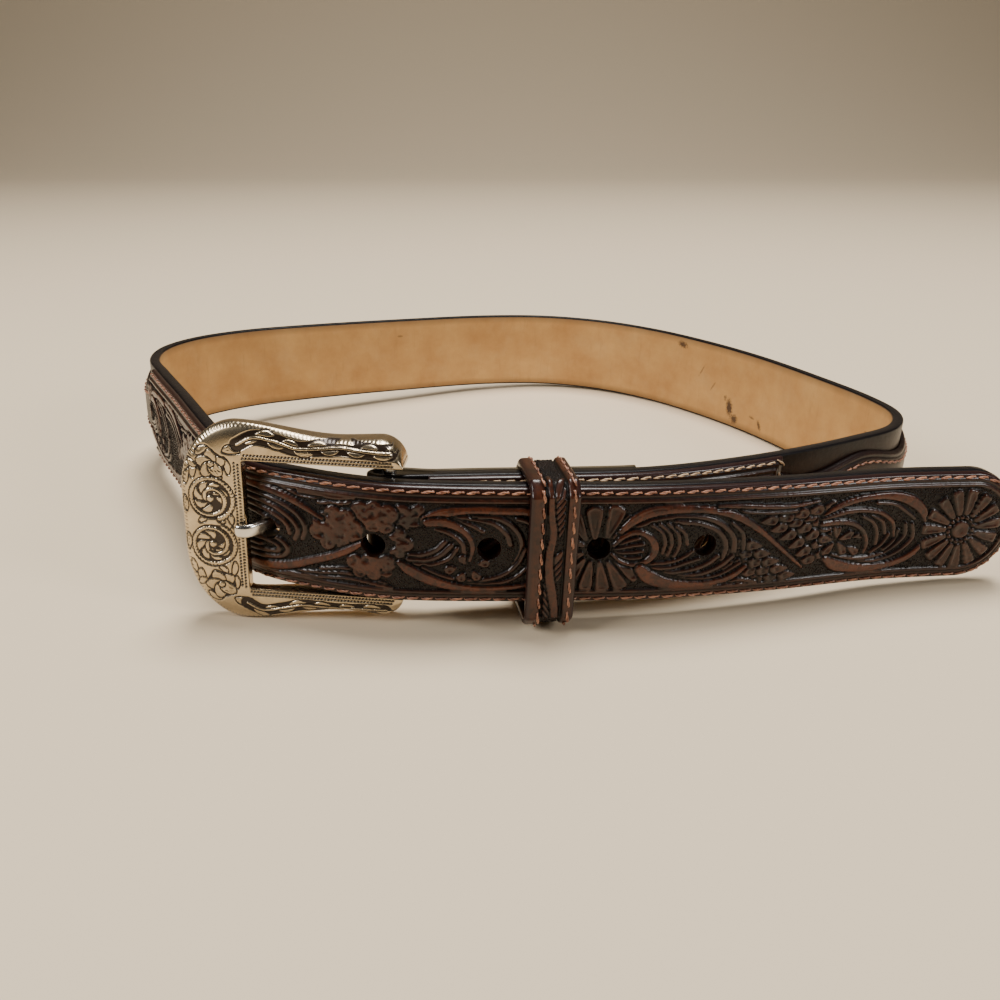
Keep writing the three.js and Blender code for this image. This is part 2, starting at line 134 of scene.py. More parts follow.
# The base strap, with the flap.
# One strip of firm dark leather, 29.5 mm wide and 1.5 mm thick. Its buckle end folds round the bar and
# runs back inside the keeper as a flap, and its long edges are coated and rubbed to a shine.
STRAP_WIDTH = 29.5
MIDDLE = STRAP_WIDTH / 2
LOOP_WIDTH = 236
LOOP_DEPTH = 196
STRAP_STACK = 6.5
STRAP_END = 817.07
TIP_ROUND = 14
LEAN = 2.64712
LEAN_HEADING = 35
SEAT = (-4.16837, -94.07973, 7.17653)
ROUTE = (
    # across, deep, lead: shares of the loop's width and depth, and strap thicknesses in front
    (-0.121, 0, 0),
    (-0.075, 0.009, 0),
    (-0.025, 0.019, 0),
    (0.033, 0.029, 0),
    (0.142, 0.053, 0),
    (0.267, 0.116, 0),
    (0.39, 0.204, 0),
    (0.462, 0.272, 0),
    (0.486, 0.34, 0),
    (0.479, 0.415, 0),
    (0.441, 0.54, 0),
    (0.386, 0.683, 0),
    (0.324, 0.797, 0),
    (0.253, 0.893, 0),
    (0.17, 0.961, 0),
    (0.075, 0.99, 0),
    (-0.03, 0.971, 0),
    (-0.188, 0.89, 0),
    (-0.344, 0.793, 0),
    (-0.419, 0.733, 0),
    (-0.473, 0.659, 0),
    (-0.496, 0.58, 0),
    (-0.489, 0.503, 0),
    (-0.452, 0.419, 0),
    (-0.395, 0.3, 0),
    (-0.325, 0.15, 0),
    (-0.284, 0.072, 0),
    (-0.246, 0.03, 0),
    (-0.196, 0.0105, 0.2),
    (-0.15, 0.004, 0.5),
    (-0.112, 0, 0.6),
    (-0.067, 0.0098, 0.9),
    (-0.017, 0.0165, 1),
    (0.033, 0.0215, 1),
    (0.142, 0.036, 1),
    (0.267, 0.068, 1),
    (0.399, 0.1115, 1),
    (0.525, 0.137, 1),
)


def smooth_line(points, per_span=12):
    """A smooth line through the points, of any number of columns."""
    p = np.asarray(points, float)
    p = np.vstack([2 * p[0] - p[1], p, 2 * p[-1] - p[-2]])
    t = np.linspace(0, 1, per_span, endpoint=False)[:, None]
    spans = []
    for a, b, c, d in zip(p, p[1:], p[2:], p[3:]):
        k0, k1, k2 = (np.linalg.norm(y[:2] - x[:2]) ** 0.5 for x, y in ((a, b), (b, c), (c, d)))
        leave = ((b - a) / k0 - (c - a) / (k0 + k1) + (c - b) / k1) * k1
        arrive = ((c - b) / k1 - (d - b) / (k1 + k2) + (d - c) / k2) * k1
        bend = 3 * (c - b) - 2 * leave - arrive
        spans.append(b + leave * t + bend * t**2 + (2 * (b - c) + leave + arrive) * t**3)
    return np.vstack([*spans, p[-2:-1]])


def ease(x, low, high):
    """Rises smoothly from 0 at low to 1 at high."""
    t = np.clip((x - low) / (high - low), 0, 1)
    return t * t * (3 - 2 * t)


route = smooth_line([(a * LOOP_WIDTH, d * LOOP_DEPTH - lead * STRAP_STACK) for a, d, lead in ROUTE], 60)
last_step = route[-1] - route[-2]
route = np.vstack([route, route[-1] + 20 * last_step / np.linalg.norm(last_step)])
run = np.append(0, np.cumsum(np.hypot(*np.diff(route, axis=0).T)))
heading = np.gradient(route, run, axis=0)
heading /= np.hypot(*heading.T)[:, None]
towards = math.radians(LEAN_HEADING)
lean_axis = Vector((-math.sin(towards), math.cos(towards), 0))
lean_matrix = np.array(Matrix.Rotation(math.radians(LEAN), 3, lean_axis))


def seated(x, y, z):
    """Places of the level loop, in millimetres, leaned as the belt stands, in metres."""
    return (np.stack(np.broadcast_arrays(x, y, z), -1) @ lean_matrix.T + SEAT) * MM


def station(s):
    """The inner face's place and outward direction at s, as four arrays."""
    x, y = (np.interp(s, run, route[:, i]) for i in (0, 1))
    tx, ty = (np.interp(s, run, heading[:, i]) for i in (0, 1))
    return x, y, ty, -tx


def on_strap(s, out, up):
    """Places s along the strap, out from its inner face and up from its lower edge."""
    x, y, nx, ny = station(s)
    return seated(x + nx * out, y + ny * out, up)


def half_height(s, inset):
    """Half the strap's height at s, with its rounded tip, less an inset all round."""
    into = np.clip((s - (STRAP_END - TIP_ROUND)) / (TIP_ROUND - inset), 0, 1)
    return (STRAP_WIDTH / 2 - inset) * np.sqrt(1 - into**2)


def steps_to_tip(start, step, inset):
    """Values of s from start to the tip, closer together round it."""
    body = np.arange(start, STRAP_END - TIP_ROUND, step)
    angles = np.linspace(0, math.radians(86), 40)
    return np.append(body, STRAP_END - TIP_ROUND + (TIP_ROUND - inset) * np.sin(angles))


def skin(name, places, marks, caps=True):
    """A closed piece over rings of places, with marks kept at its points and smooth shading."""
    rings, around = places.shape[:2]
    index = np.arange(rings * around).reshape(rings, around)
    beside = np.roll(index, -1, 1)
    quads = np.stack([index[:-1], beside[:-1], beside[1:], index[1:]], -1).reshape(-1, 4)
    ends = [index[0, ::-1].tolist(), index[-1].tolist()] if caps else []
    mesh = bpy.data.meshes.new(name)
    mesh.from_pydata(places.reshape(-1, 3), [], quads.tolist() + ends)
    mesh.shade_smooth()
    for polygon in list(mesh.polygons)[len(quads):]:
        polygon.use_smooth = False
    for key, values in marks.items():
        layer = mesh.attributes.new(key, "FLOAT", "POINT")
        layer.data.foreach_set("value", np.broadcast_to(values, (rings, around)).astype(np.float32).ravel())
    corners = places.reshape(-1, 3)[quads]
    middle = corners.mean((0, 1))
    a, b, c, d = (corners[:, i] - middle for i in range(4))
    if (np.cross(a, b) * c).sum() + (np.cross(a, c) * d).sum() < 0:
        mesh.flip_normals()
    return in_scene(name, mesh)


def helper(name, places, faces):
    """A plain solid, to cut with or to repeat, which is removed after use."""
    mesh = bpy.data.meshes.new(name)
    mesh.from_pydata(places, [], faces)
    return in_scene(name, mesh)


def remove(tools):
    """Takes helpers away after use."""
    for tool in tools:
        bpy.data.objects.remove(tool)


def baked(piece):
    """Replaces a piece's mesh by what its modifiers make of it."""
    graph = bpy.context.evaluated_depsgraph_get()
    shown = piece.evaluated_get(graph)
    made = bpy.data.meshes.new_from_object(shown, preserve_all_data_layers=True, depsgraph=graph)
    piece.modifiers.clear()
    piece.data = made


def cut(piece, tools):
    """Cuts the tools out of a piece."""
    for tool in tools:
        modifier = piece.modifiers.new("cut", "BOOLEAN")
        modifier.operation = "DIFFERENCE"
        modifier.solver = "EXACT"
        modifier.object = tool
    baked(piece)


HOLE_PITCH = 25.4
HOLE_COUNT = 5
HOLE_BORE = 5.6
USED_HOLE = 628.97


def punch(s, bore=HOLE_BORE):
    """The punch that makes the hole at s."""
    sides = 40
    turn = np.linspace(0, 2 * math.pi, sides, endpoint=False)
    x, y, nx, ny = station(np.array(s))
    rings = []
    for out in (-0.25, 8.0):
        along, up = bore / 2 * np.cos(turn), bore / 2 * np.sin(turn)
        rings.append(seated(x + nx * out - ny * along, y + ny * out + nx * along, MIDDLE + up))
    walls = [(i, (i + 1) % sides, sides + (i + 1) % sides, sides + i) for i in range(sides)]
    ends = [tuple(range(sides))[::-1], tuple(range(sides, 2 * sides))]
    return helper("punch", np.vstack(rings).tolist(), walls + ends)


punches = [punch(USED_HOLE + HOLE_PITCH * i) for i in range(HOLE_COUNT)]


def edge_arc(radius, steps=4):
    """Points of a quarter round, from along the first side to along the second."""
    turn = np.linspace(0, math.pi / 2, steps + 1)
    return radius * (1 - np.sin(turn)), radius * (1 - np.cos(turn))


def strip_section(inner, lip, outer, half, radius, lip_width=0.42):
    """A strip's section as rings of (out, across): a rounded outer face, and an inner face whose two
    edges reach further in, to the lip, as a coat over the lining's edges."""
    columns = np.broadcast_arrays(inner, lip, outer, half)
    inner, lip, outer, half = (np.asarray(column, float)[:, None] for column in columns)
    along, off = edge_arc(radius)
    flat = np.linspace(-1, 1, 9)[None, 1:-1]
    side = [lip + 0.1, lip, lip + 0.5 * radius]
    out = np.hstack([
        inner, *side, outer - off[None, ::-1], outer + 0 * flat,
        outer - off[None, :], *side[::-1], inner, inner,
    ])
    across = np.hstack([
        -(half - lip_width), -(half - lip_width), -(half - 0.5 * lip_width),
        -half, -(half - along[None, ::-1]), flat * (half - radius),
        half - along[None, :], half, half - 0.5 * lip_width, half - lip_width, half - lip_width, 0 * half,
    ])
    return out, across


BASE_MIDDLE = 2.25
BASE_HALF = 0.75
FLAP_LENGTH = 59.5
FOLD_RADIUS = 2.55
FOLD_SLACK = 2.2
LINING_START = 9
PRONG_RISE = 0.5
SLOT_HALF = 2.0
SLOT_LEFT = 9.5
SLOT_RIGHT = 3.1
SLOT_DEEP = 3.6
BAR_SINK = 0.3
FLAP_GAP = 1.05
EDGE_ROUND = 0.62

bar_x, bar_y, bar_nx, bar_ny = station(np.array(0.0))
bar_x, bar_y = bar_x - BAR_SINK * bar_nx, bar_y - BAR_SINK * bar_ny
flap_s = np.linspace(FLAP_LENGTH, 0, 60)
flap_x, flap_y, flap_nx, flap_ny = station(flap_s)
closed = ease(flap_s, 0, 11)
flap_out = (-BAR_SINK - FOLD_RADIUS) * (1 - closed) - FLAP_GAP * closed
turn = np.linspace(0, math.pi, 22)[1:-1]
fold_nx = -np.cos(turn) * bar_nx + np.sin(turn) * bar_ny
fold_ny = -np.cos(turn) * bar_ny - np.sin(turn) * bar_nx
front_s = steps_to_tip(0, 1.6, 0)
front_x, front_y, front_nx, front_ny = station(front_s)
slack = FOLD_SLACK * np.sin(turn)
fold_x = bar_x + fold_nx * FOLD_RADIUS + slack * bar_ny
fold_y = bar_y + fold_ny * FOLD_RADIUS - slack * bar_nx
base_x = np.concatenate([flap_x + flap_nx * flap_out, fold_x, front_x + front_nx * BASE_MIDDLE])
base_y = np.concatenate([flap_y + flap_ny * flap_out, fold_y, front_y + front_ny * BASE_MIDDLE])
base_nx = np.concatenate([-flap_nx, fold_nx, front_nx])
base_ny = np.concatenate([-flap_ny, fold_ny, front_ny])
behind = len(flap_s) + len(turn)
base_half = np.append(np.full(behind, MIDDLE), half_height(front_s, 0))
lined = np.append(np.zeros(behind), ease(front_s, LINING_START, LINING_START + 1.5))
inner = -BASE_HALF - 0.1 * lined
out, across = strip_section(inner, inner - 1.3 * lined, BASE_HALF + 0.15 * lined, base_half, EDGE_ROUND)
base_x, base_y, base_nx, base_ny = (values[:, None] for values in (base_x, base_y, base_nx, base_ny))
places = seated(base_x + base_nx * out, base_y + base_ny * out, MIDDLE + across)
raw = np.append(np.ones(len(flap_s)), np.zeros(len(turn) + len(front_s)))
base_strap = skin("base_strap", places, {
    "edge": ease(np.abs(across), MIDDLE - 1.2, MIDDLE - 0.5),
    "raw": raw[:, None],
})
slot_corners = [
    tuple(seated(bar_x - a * bar_ny + b * bar_nx, bar_y + a * bar_nx + b * bar_ny, MIDDLE + PRONG_RISE + c))
    for a in (-SLOT_LEFT, SLOT_RIGHT) for b in (-SLOT_DEEP, SLOT_DEEP) for c in (-SLOT_HALF, SLOT_HALF)
]
slot_sides = [(0, 1, 3, 2), (4, 6, 7, 5), (0, 4, 5, 1), (2, 3, 7, 6), (0, 2, 6, 4), (1, 5, 7, 3)]
slot_tool = helper("slot", slot_corners, slot_sides)
cut(base_strap, [*punches, slot_tool])
remove([slot_tool])


def new_group(name, inputs, outputs):
    """A shader group with its sockets: inputs are name, kind and value, and outputs are name and kind."""
    group = bpy.data.node_groups.new(name, "ShaderNodeTree")
    for key, kind, value in inputs:
        socket = group.interface.new_socket(key, in_out="INPUT", socket_type="NodeSocket" + kind)
        socket.default_value = value
    for key, kind in outputs:
        group.interface.new_socket(key, in_out="OUTPUT", socket_type="NodeSocket" + kind)
    return group, add_node(group, "NodeGroupInput"), add_node(group, "NodeGroupOutput")


def noise(tree, place, scale, detail, roughness=0.5):
    """A cloudy pattern over places, as a socket."""
    inputs = {"Vector": place, "Scale": scale, "Detail": detail, "Roughness": roughness}
    return add_node(tree, "ShaderNodeTexNoise", inputs).outputs["Fac"]


def figure(tree, operation, *values):
    """A sum worked out from values or sockets, as a socket."""
    return add_node(tree, "ShaderNodeMath", dict(enumerate(values)), operation=operation).outputs[0]


def object_place(tree):
    """The place on the piece, as a socket."""
    return add_node(tree, "ShaderNodeTexCoord").outputs["Object"]


def make_grain():
    """Leather grain: small pebbles, fine pores and a slow change of tone."""
    group, given, made = new_group(
        "leather_grain",
        [("Pebble", "Float", 900.0), ("Depth", "Float", 1.0)],
        [("Height", "Float"), ("Tone", "Float")],
    )
    place = object_place(group)
    inputs = {"Vector": place, "Scale": given.outputs["Pebble"], "Randomness": 1.0}
    pebble = add_node(group, "ShaderNodeTexVoronoi", inputs, feature="SMOOTH_F1")
    pores = noise(group, place, 2600.0, 3.0, 0.6)
    total = figure(group, "MULTIPLY_ADD", pebble.outputs["Distance"], 0.55, pores)
    feed(group, made, {
        "Height": figure(group, "MULTIPLY", total, given.outputs["Depth"]),
        "Tone": noise(group, place, 110.0, 4.0, 0.6),
    })
    return group


grain = make_grain()


def roughen(tree, shader, height, strength, distance):
    """Puts a height in a material as its bump."""
    bump = add_node(tree, "ShaderNodeBump", {"Height": height, "Strength": strength, "Distance": distance})
    feed(tree, shader, {"Normal": bump.outputs["Normal"]})


def place_grain(tree, shader, pebble, depth, distance, strength=0.6):
    """Puts the grain in a material as its bump, and gives its tone."""
    node = add_node(tree, "ShaderNodeGroup", {"Pebble": pebble, "Depth": depth}, node_tree=grain)
    roughen(tree, shader, node.outputs["Height"], strength, distance)
    return node.outputs["Tone"]


def mix(tree, factor, first, second):
    """A mix of two colours by a factor, each a value or a socket, as a socket."""
    return add_node(tree, "ShaderNodeMix", {0: factor, 6: first, 7: second}, data_type="RGBA").outputs[2]


def mark(tree, key):
    """A mark kept at a piece's points, as a socket."""
    return add_node(tree, "ShaderNodeAttribute", attribute_name=key).outputs["Fac"]


def spread(tree, socket, low, high, first=0.0, second=1.0):
    """A socket's range from low to high, spread from the first value to the second."""
    return add_node(tree, "ShaderNodeMapRange", {0: socket, 1: low, 2: high, 3: first, 4: second}).outputs[0]


def paint_strap():
    """Dark leather with a black coat along its edges, and the flap's edges left raw."""
    material, tree, shader = new_paint("strap_leather")
    tone = place_grain(tree, shader, 700.0, 1.0, 0.00012)
    face = mix(tree, spread(tree, tone, 0.35, 0.7), (0.010, 0.005, 0.004, 1), (0.028, 0.012, 0.008, 1))
    raw_edge = mix(tree, tone, (0.05, 0.035, 0.018, 1), (0.11, 0.08, 0.04, 1))
    edge = mix(tree, mark(tree, "raw"), (0.005, 0.004, 0.005, 1), raw_edge)
    feed(tree, shader, {
        "Base Color": mix(tree, mark(tree, "edge"), face, edge),
        "Roughness": spread(tree, mark(tree, "raw"), 0, 1, 0.36, 0.6),
        "Specular IOR Level": 0.16,
        "Coat Weight": 0.06,
        "Coat Roughness": 0.2,
    })
    return material


base_strap.data.materials.append(paint_strap())
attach(base_strap, "root")
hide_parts("strap_outer")

# The lining.
# Undyed tan leather, 1.2 mm thick, glued to the inner side with its flesh side out, so it shows faint
# streaks, rubbed spots and a few dark stains from use.
LINING_THICKNESS = 1.28
LINING_INSET = 0.45
LINING_BORE = 7.4
LINING_ROUND = 0.22


def rounded_face(base, face, half, radius, columns):
    """Rings of (out, across) for a layer with a plain back at base and rounded edges on its face."""
    half = half[:, None]
    turn = np.linspace(0, math.pi / 2, 4)[None, :]
    arc_across = radius * (1 - np.cos(turn)) - half
    arc_out = face - math.copysign(radius, face - base) * (1 - np.sin(turn))
    arc_out = np.broadcast_to(arc_out, arc_across.shape)
    flat = np.linspace(-1, 1, columns + 2)[None, 1:-1] * (half - radius)
    across = np.hstack([-half, arc_across, flat, -arc_across[:, ::-1], half])
    plain = np.full_like(half, base)
    out = np.hstack([plain, arc_out, np.full_like(flat, face), arc_out[:, ::-1], plain])
    return out, across


lining_s = steps_to_tip(LINING_START, 1.6, LINING_INSET)
lining_half = half_height(lining_s, LINING_INSET)
out, across = rounded_face(LINING_THICKNESS, 0, lining_half, LINING_ROUND, 11)
lining = skin("lining", on_strap(lining_s[:, None], out, MIDDLE + across), {
    "along": lining_s[:, None],
    "across": across,
    "edge": 1 - ease(lining_half[:, None] - np.abs(across), 0.0, 0.5),
})
wide_punches = [punch(USED_HOLE + HOLE_PITCH * i, LINING_BORE) for i in range(HOLE_COUNT)]
cut(lining, wide_punches)
remove(wide_punches)
STAINS = (
    # along, across, half length, half height, turn in degrees, darkness
    (273.5, 11.6, 2.6, 1.3, 10, 0.9),
    (246.4, -7.5, 1.7, 3.6, -12, 0.95),
    (243.2, -11.3, 2.0, 1.8, 30, 0.9),
    (249.0, -4.2, 0.8, 1.2, 0, 0.6),
    (230.0, -10.0, 0.8, 2.2, -30, 0.8),
    (234.2, -8.2, 1.4, 0.5, 10, 0.6),
    (262.5, 3.4, 0.35, 2.6, 28, 0.5),
    (256.0, -1.4, 0.4, 2.4, 32, 0.45),
    (177.2, 3.6, 0.7, 0.9, 0, 0.7),
    (401.0, 8.2, 1.2, 0.5, 0, 0.5),
)


def paint_lining():
    """Tan leather with fibres, streaks, soft patches and the stains of use."""
    material, tree, shader = new_paint("lining_leather")
    tone = place_grain(tree, shader, 500.0, 0.6, 0.00008)
    marks = {0: mark(tree, "along"), 1: mark(tree, "across")}
    flat = add_node(tree, "ShaderNodeCombineXYZ", marks).outputs[0]
    stretched = add_node(tree, "ShaderNodeMapping", {"Vector": flat, "Scale": (0.9, 0.12, 1.0)}).outputs[0]
    patches = noise(tree, flat, 0.06, 5.0, 0.62)
    streaks = noise(tree, stretched, 0.5, 4.0, 0.7)
    ragged = noise(tree, flat, 1.4, 4.0)
    color = mix(tree, spread(tree, patches, 0.3, 0.72), (0.45, 0.23, 0.072, 1), (0.62, 0.365, 0.13, 1))
    color = mix(tree, spread(tree, streaks, 0.56, 0.75, 0.0, 0.35), color, (0.33, 0.17, 0.06, 1))
    color = mix(tree, spread(tree, tone, 0.5, 0.75, 0.0, 0.25), color, (0.62, 0.42, 0.2, 1))
    for along, up, long, high, turned, dark in STAINS:
        spot = add_node(tree, "ShaderNodeMapping", {
            "Vector": flat,
            "Location": (along, up, 0),
            "Rotation": (0, 0, math.radians(turned)),
            "Scale": (long, high, 1),
        }, vector_type="TEXTURE")
        reach = add_node(tree, "ShaderNodeVectorMath", {0: spot.outputs[0]}, operation="LENGTH")
        total = figure(tree, "MULTIPLY_ADD", ragged, 1.5, reach.outputs["Value"])
        color = mix(tree, spread(tree, total, 1.9, 1.2, 0.0, dark), color, (0.05, 0.022, 0.01, 1))
    rim = spread(tree, mark(tree, "edge"), 0.0, 1.0, 0.0, 0.85)
    feed(tree, shader, {"Base Color": mix(tree, rim, color, (0.06, 0.03, 0.018, 1)), "Roughness": 0.72})
    return material


lining.data.materials.append(paint_lining())
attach(lining, "root")
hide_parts("strap_lining")

# The tip billet.
# A strip of padded leather from the tip, through the buckle and the keeper, to the left side. Vines,
# flowers, scrolls and leaves are carved in its damp face, the ground between them is beaten with a seed
# tool, and a dark finish is wiped off what stands high. One row of thread runs round its edge.
BILLET_BASE = 3.25
BILLET_EDGE = 4.5
BILLET_CROWN = 6.2
BILLET_INSET = 0.2
TIP_BILLET_START = 529.07
GROUND_DEPTH = 0.58
OUTLINE_DEPTH = 0.78
FIELD_INSET = 3.45
RIDGE_INSET = 2.95
CREASE_INSET = 2.2
SEAM_INSET = 1.15
SEAM_DEPTH = 0.24
SHOWN_BEFORE_HOLE = 7
COARSE_STEP = 0.55
FINE_STEP = 0.27
TIP_COLUMNS = 94
billet_reach = MIDDLE - BILLET_INSET


def swell(x, width):
    """A soft swelling: 1 where x is 0, and next to nothing at twice the width."""
    return np.exp(-((x / width) ** 2))


def toward(degrees):
    """The direction at an angle, as two figures."""
    return np.array([math.cos(math.radians(degrees)), math.sin(math.radians(degrees))])


class Carving:
    """A carved face: how high each point stands, how brown it is dyed, and where the ground is beaten."""

    def __init__(self, u, v):
        self.u, self.v = np.broadcast_arrays(u, v)
        self.height = np.full(self.u.shape, -GROUND_DEPTH)
        self.tint = np.zeros(self.u.shape)
        self.ground = np.ones(self.u.shape)

    def near(self, line, room):
        """The points within room of a line, their distance outside it and the share of it run there."""
        reach = room + line[:, 2].max()
        low, high = line[:, :2].min(0) - reach, line[:, :2].max(0) + reach
        at = np.nonzero((self.u > low[0]) & (self.u < high[0]) & (self.v > low[1]) & (self.v < high[1]))
        gap = np.hypot(self.u[at][:, None] - line[:, 0], self.v[at][:, None] - line[:, 1])
        off = gap - line[:, 2]
        nearest = off.argmin(1)
        rows = np.arange(len(nearest))
        return at, off[rows, nearest], gap[rows, nearest], nearest / max(1, len(line) - 1)

    def raised(self, discs, tint, lift=0.1, bevel=0.6, ditch=0.34, cup=0.0):
        """Raises what lies in (u, v, radius) discs, with a beaten ditch round it and a cup sunk in it."""
        at, off, _, _ = self.near(np.asarray(discs, float), 3 * ditch)
        if not len(off):
            return
        rise = np.sqrt(np.clip(1 - (1 - np.clip(-off / bevel, 0, 1)) ** 2, 0, 1))
        top = -0.3 + (0.3 + lift) * rise - cup * ease(-off, 0.5, 1.0)
        height, tone, bare = self.height[at], self.tint[at], self.ground[at]
        sunk = height - (height + OUTLINE_DEPTH) * swell(np.maximum(off, 0), ditch)
        self.height[at] = np.where(off < 0, top, np.minimum(height, sunk))
        self.tint[at] = np.where(off < 0, tint * rise, tone)
        self.ground[at] = np.where(off < 0.8 * ditch, 0, bare)

    def band(self, points, tint=0.3, lift=0.06, bevel=0.55, ditch=0.3):
        """Raises a smooth band along (u, v, half width) points."""
        self.raised(smooth_line(points, 14), tint, lift, bevel, ditch)

    def cut(self, points, depth=0.3, width=0.26):
        """Cuts a line along (u, v) points, which runs out at its end."""
        line = smooth_line([(*p[:2], 0) for p in points], 10)
        at, _, gap, share = self.near(line, 3 * width)
        if len(gap):
            fade = np.minimum(1, 4 * (1 - share) + 0.25)
            self.height[at] -= depth * fade * swell(gap, width)

    def dent(self, u, v, radius, depth):
        """Presses one round dent."""
        at, _, gap, _ = self.near(np.array([(u, v, 0.0)]), 2.5 * radius)
        if len(gap):
            self.height[at] -= depth * swell(gap, radius)

    def petal(self, u, v, turn, long, wide, tint=0.45, cup=0.3):
        """One petal from its root at (u, v): narrow at the root, blunt at its end, with a sunken middle."""
        along = toward(turn)
        beside = np.array((-along[1], along[0]))
        root = np.array((u, v))

        def place(a, b):
            return root + along * long * a + beside * wide * b

        shares = ((0, 0.34), (0.4, 0.68), (0.8, 0.95))
        spine = smooth_line([(*place(a, 0), share * wide) for a, share in shares])
        ends = [(*place(0.98 - 0.3 * wide / long, side), 0.5 * wide) for side in (-0.48, 0.0, 0.48)]
        self.raised(np.vstack([spine, ends]), tint, 0.1, 0.4, 0.3, cup)
        for side in (-0.5, 0.5):
            self.cut([place(0.0, 0.2 * side), place(0.3, 0.45 * side), place(0.6, 0.7 * side)], 0.2, 0.18)

    def ruffle(self, discs, tint, seed):
        """One broad ruffled petal: round lobes run together, pressed with cups and small dents."""
        dice = np.random.default_rng(seed)
        self.raised(discs, tint, 0.12, 0.8, 0.36)
        for u, v, radius in discs:
            for size, depth, count in ((0.75, 0.22, 2), (0.36, 0.26, 4)):
                for _ in range(count):
                    turn = dice.uniform(0, 2 * math.pi)
                    far = radius * 0.72 * math.sqrt(dice.uniform(0, 1))
                    self.dent(u + far * math.cos(turn), v + far * math.sin(turn), size, depth)

    def border(self, into):
        """Leaves a plain border: a smooth ridge round the carved field, a crease and the seam's channel."""
        inside = ease(into, FIELD_INSET - 0.1, FIELD_INSET + 0.25)
        plain = 0.1 * swell(into - RIDGE_INSET, 0.4) - 0.42 * swell(into - CREASE_INSET, 0.26)
        plain = plain - SEAM_DEPTH * swell(into - SEAM_INSET, 0.5)
        self.height = self.height * inside + plain * (1 - inside)
        self.tint = self.tint * inside + 0.28 * (1 - inside)
        self.ground = self.ground * (inside > 0.9)


# Each band's points are (along, across, half width), from the hole in use and the strap's middle.
VINES = (
    # tint, then the points
    (0.95, (-12, -10.4, 0.8), (-6, -10.3, 1.0), (0, -9.9, 1.15), (6, -8.3, 1.15), (12, -5.8, 1.0),
     (17, -3.6, 0.95), (21, -1.2, 0.8), (23.4, 0.6, 0.5)),
    (0.8, (-9, 10.3, 0.7), (-2, 10.1, 0.9), (3, 9.4, 1.0), (8, 7.8, 0.9), (11.5, 6.2, 0.7), (13.8, 5, 0.45)),
    (0.95, (36.6, 6.9, 1.4), (39.4, 8.4, 1.3), (44, 9.4, 0.95), (52, 9.5, 0.95), (60, 9.1, 0.9),
     (66, 8, 0.7)),
    (0.7, (36.8, 6.4, 1.0), (40, 6.6, 1.1), (43.6, 5.4, 0.95), (46, 3.2, 0.75), (47, 0.2, 0.6),
     (46.4, -3, 0.4)),
    (0.95, (31, -3.9, 0.8), (33, -5.6, 1.3), (37, -7.9, 1.35), (42, -9.6, 1.1), (48, -10.4, 0.8),
     (55, -10.1, 0.7), (62, -9, 0.6)),
    (0.85, (79.6, 0.9, 0.5), (81.8, 3.2, 0.7), (85.2, 4.1, 0.75), (88.2, 2.4, 0.9), (89.4, -0.5, 0.95),
     (88, -3.1, 0.8), (85, -4.3, 0.6), (81.4, -3.2, 0.5), (79.2, -1.2, 0.4)),
    (0.9, (81, 4.4, 0.7), (83.4, 6.8, 1.1), (87, 8.8, 1.3), (92, 9.6, 1.2), (99, 9.4, 1.0), (105, 8.4, 1.0),
     (110, 6.4, 1.0), (115, 3.2, 0.85), (120, -0.9, 0.7), (124, -4.4, 0.6), (127.8, -7.7, 0.4)),
    (0.6, (104, 9.9, 0.5), (110, 9.6, 0.7), (117, 9.0, 0.7), (124, 8.9, 0.6), (130, 9.6, 0.4)),
    (0.9, (86.2, -5.4, 1.2), (88.6, -7.7, 1.8), (92, -9.3, 1.6), (98, -10.4, 1.2), (104, -10.3, 0.9),
     (109.4, -8.7, 0.9), (112.6, -6.2, 0.6)),
    (0.9, (131.4, 5, 0.5), (134.6, 7.3, 0.8), (140, 9, 0.9), (147, 9.6, 0.9), (153, 9.1, 1.2),
     (158, 7.2, 1.45), (160.8, 4.6, 1.1), (161.6, 2.4, 0.5)),
    (0.7, (131.8, 4.5, 0.6), (137, 6, 0.75), (143, 6.2, 0.7), (148.6, 5.0, 0.65), (152.4, 2.2, 0.6),
     (153.4, -1.4, 0.4)),
    (0.7, (131.6, 3.4, 0.7), (136, 3.6, 0.8), (140.6, 2.8, 0.75), (144, 0.5, 0.65), (145.6, -2.8, 0.55),
     (145.2, -5.4, 0.4)),
    (0.9, (134.2, -6.2, 0.9), (137.4, -8.2, 1.6), (142, -9.4, 1.4), (149, -10.0, 1.1), (155, -9.1, 1.0),
     (159.6, -6.9, 0.9), (162.2, -4, 0.6)),
)
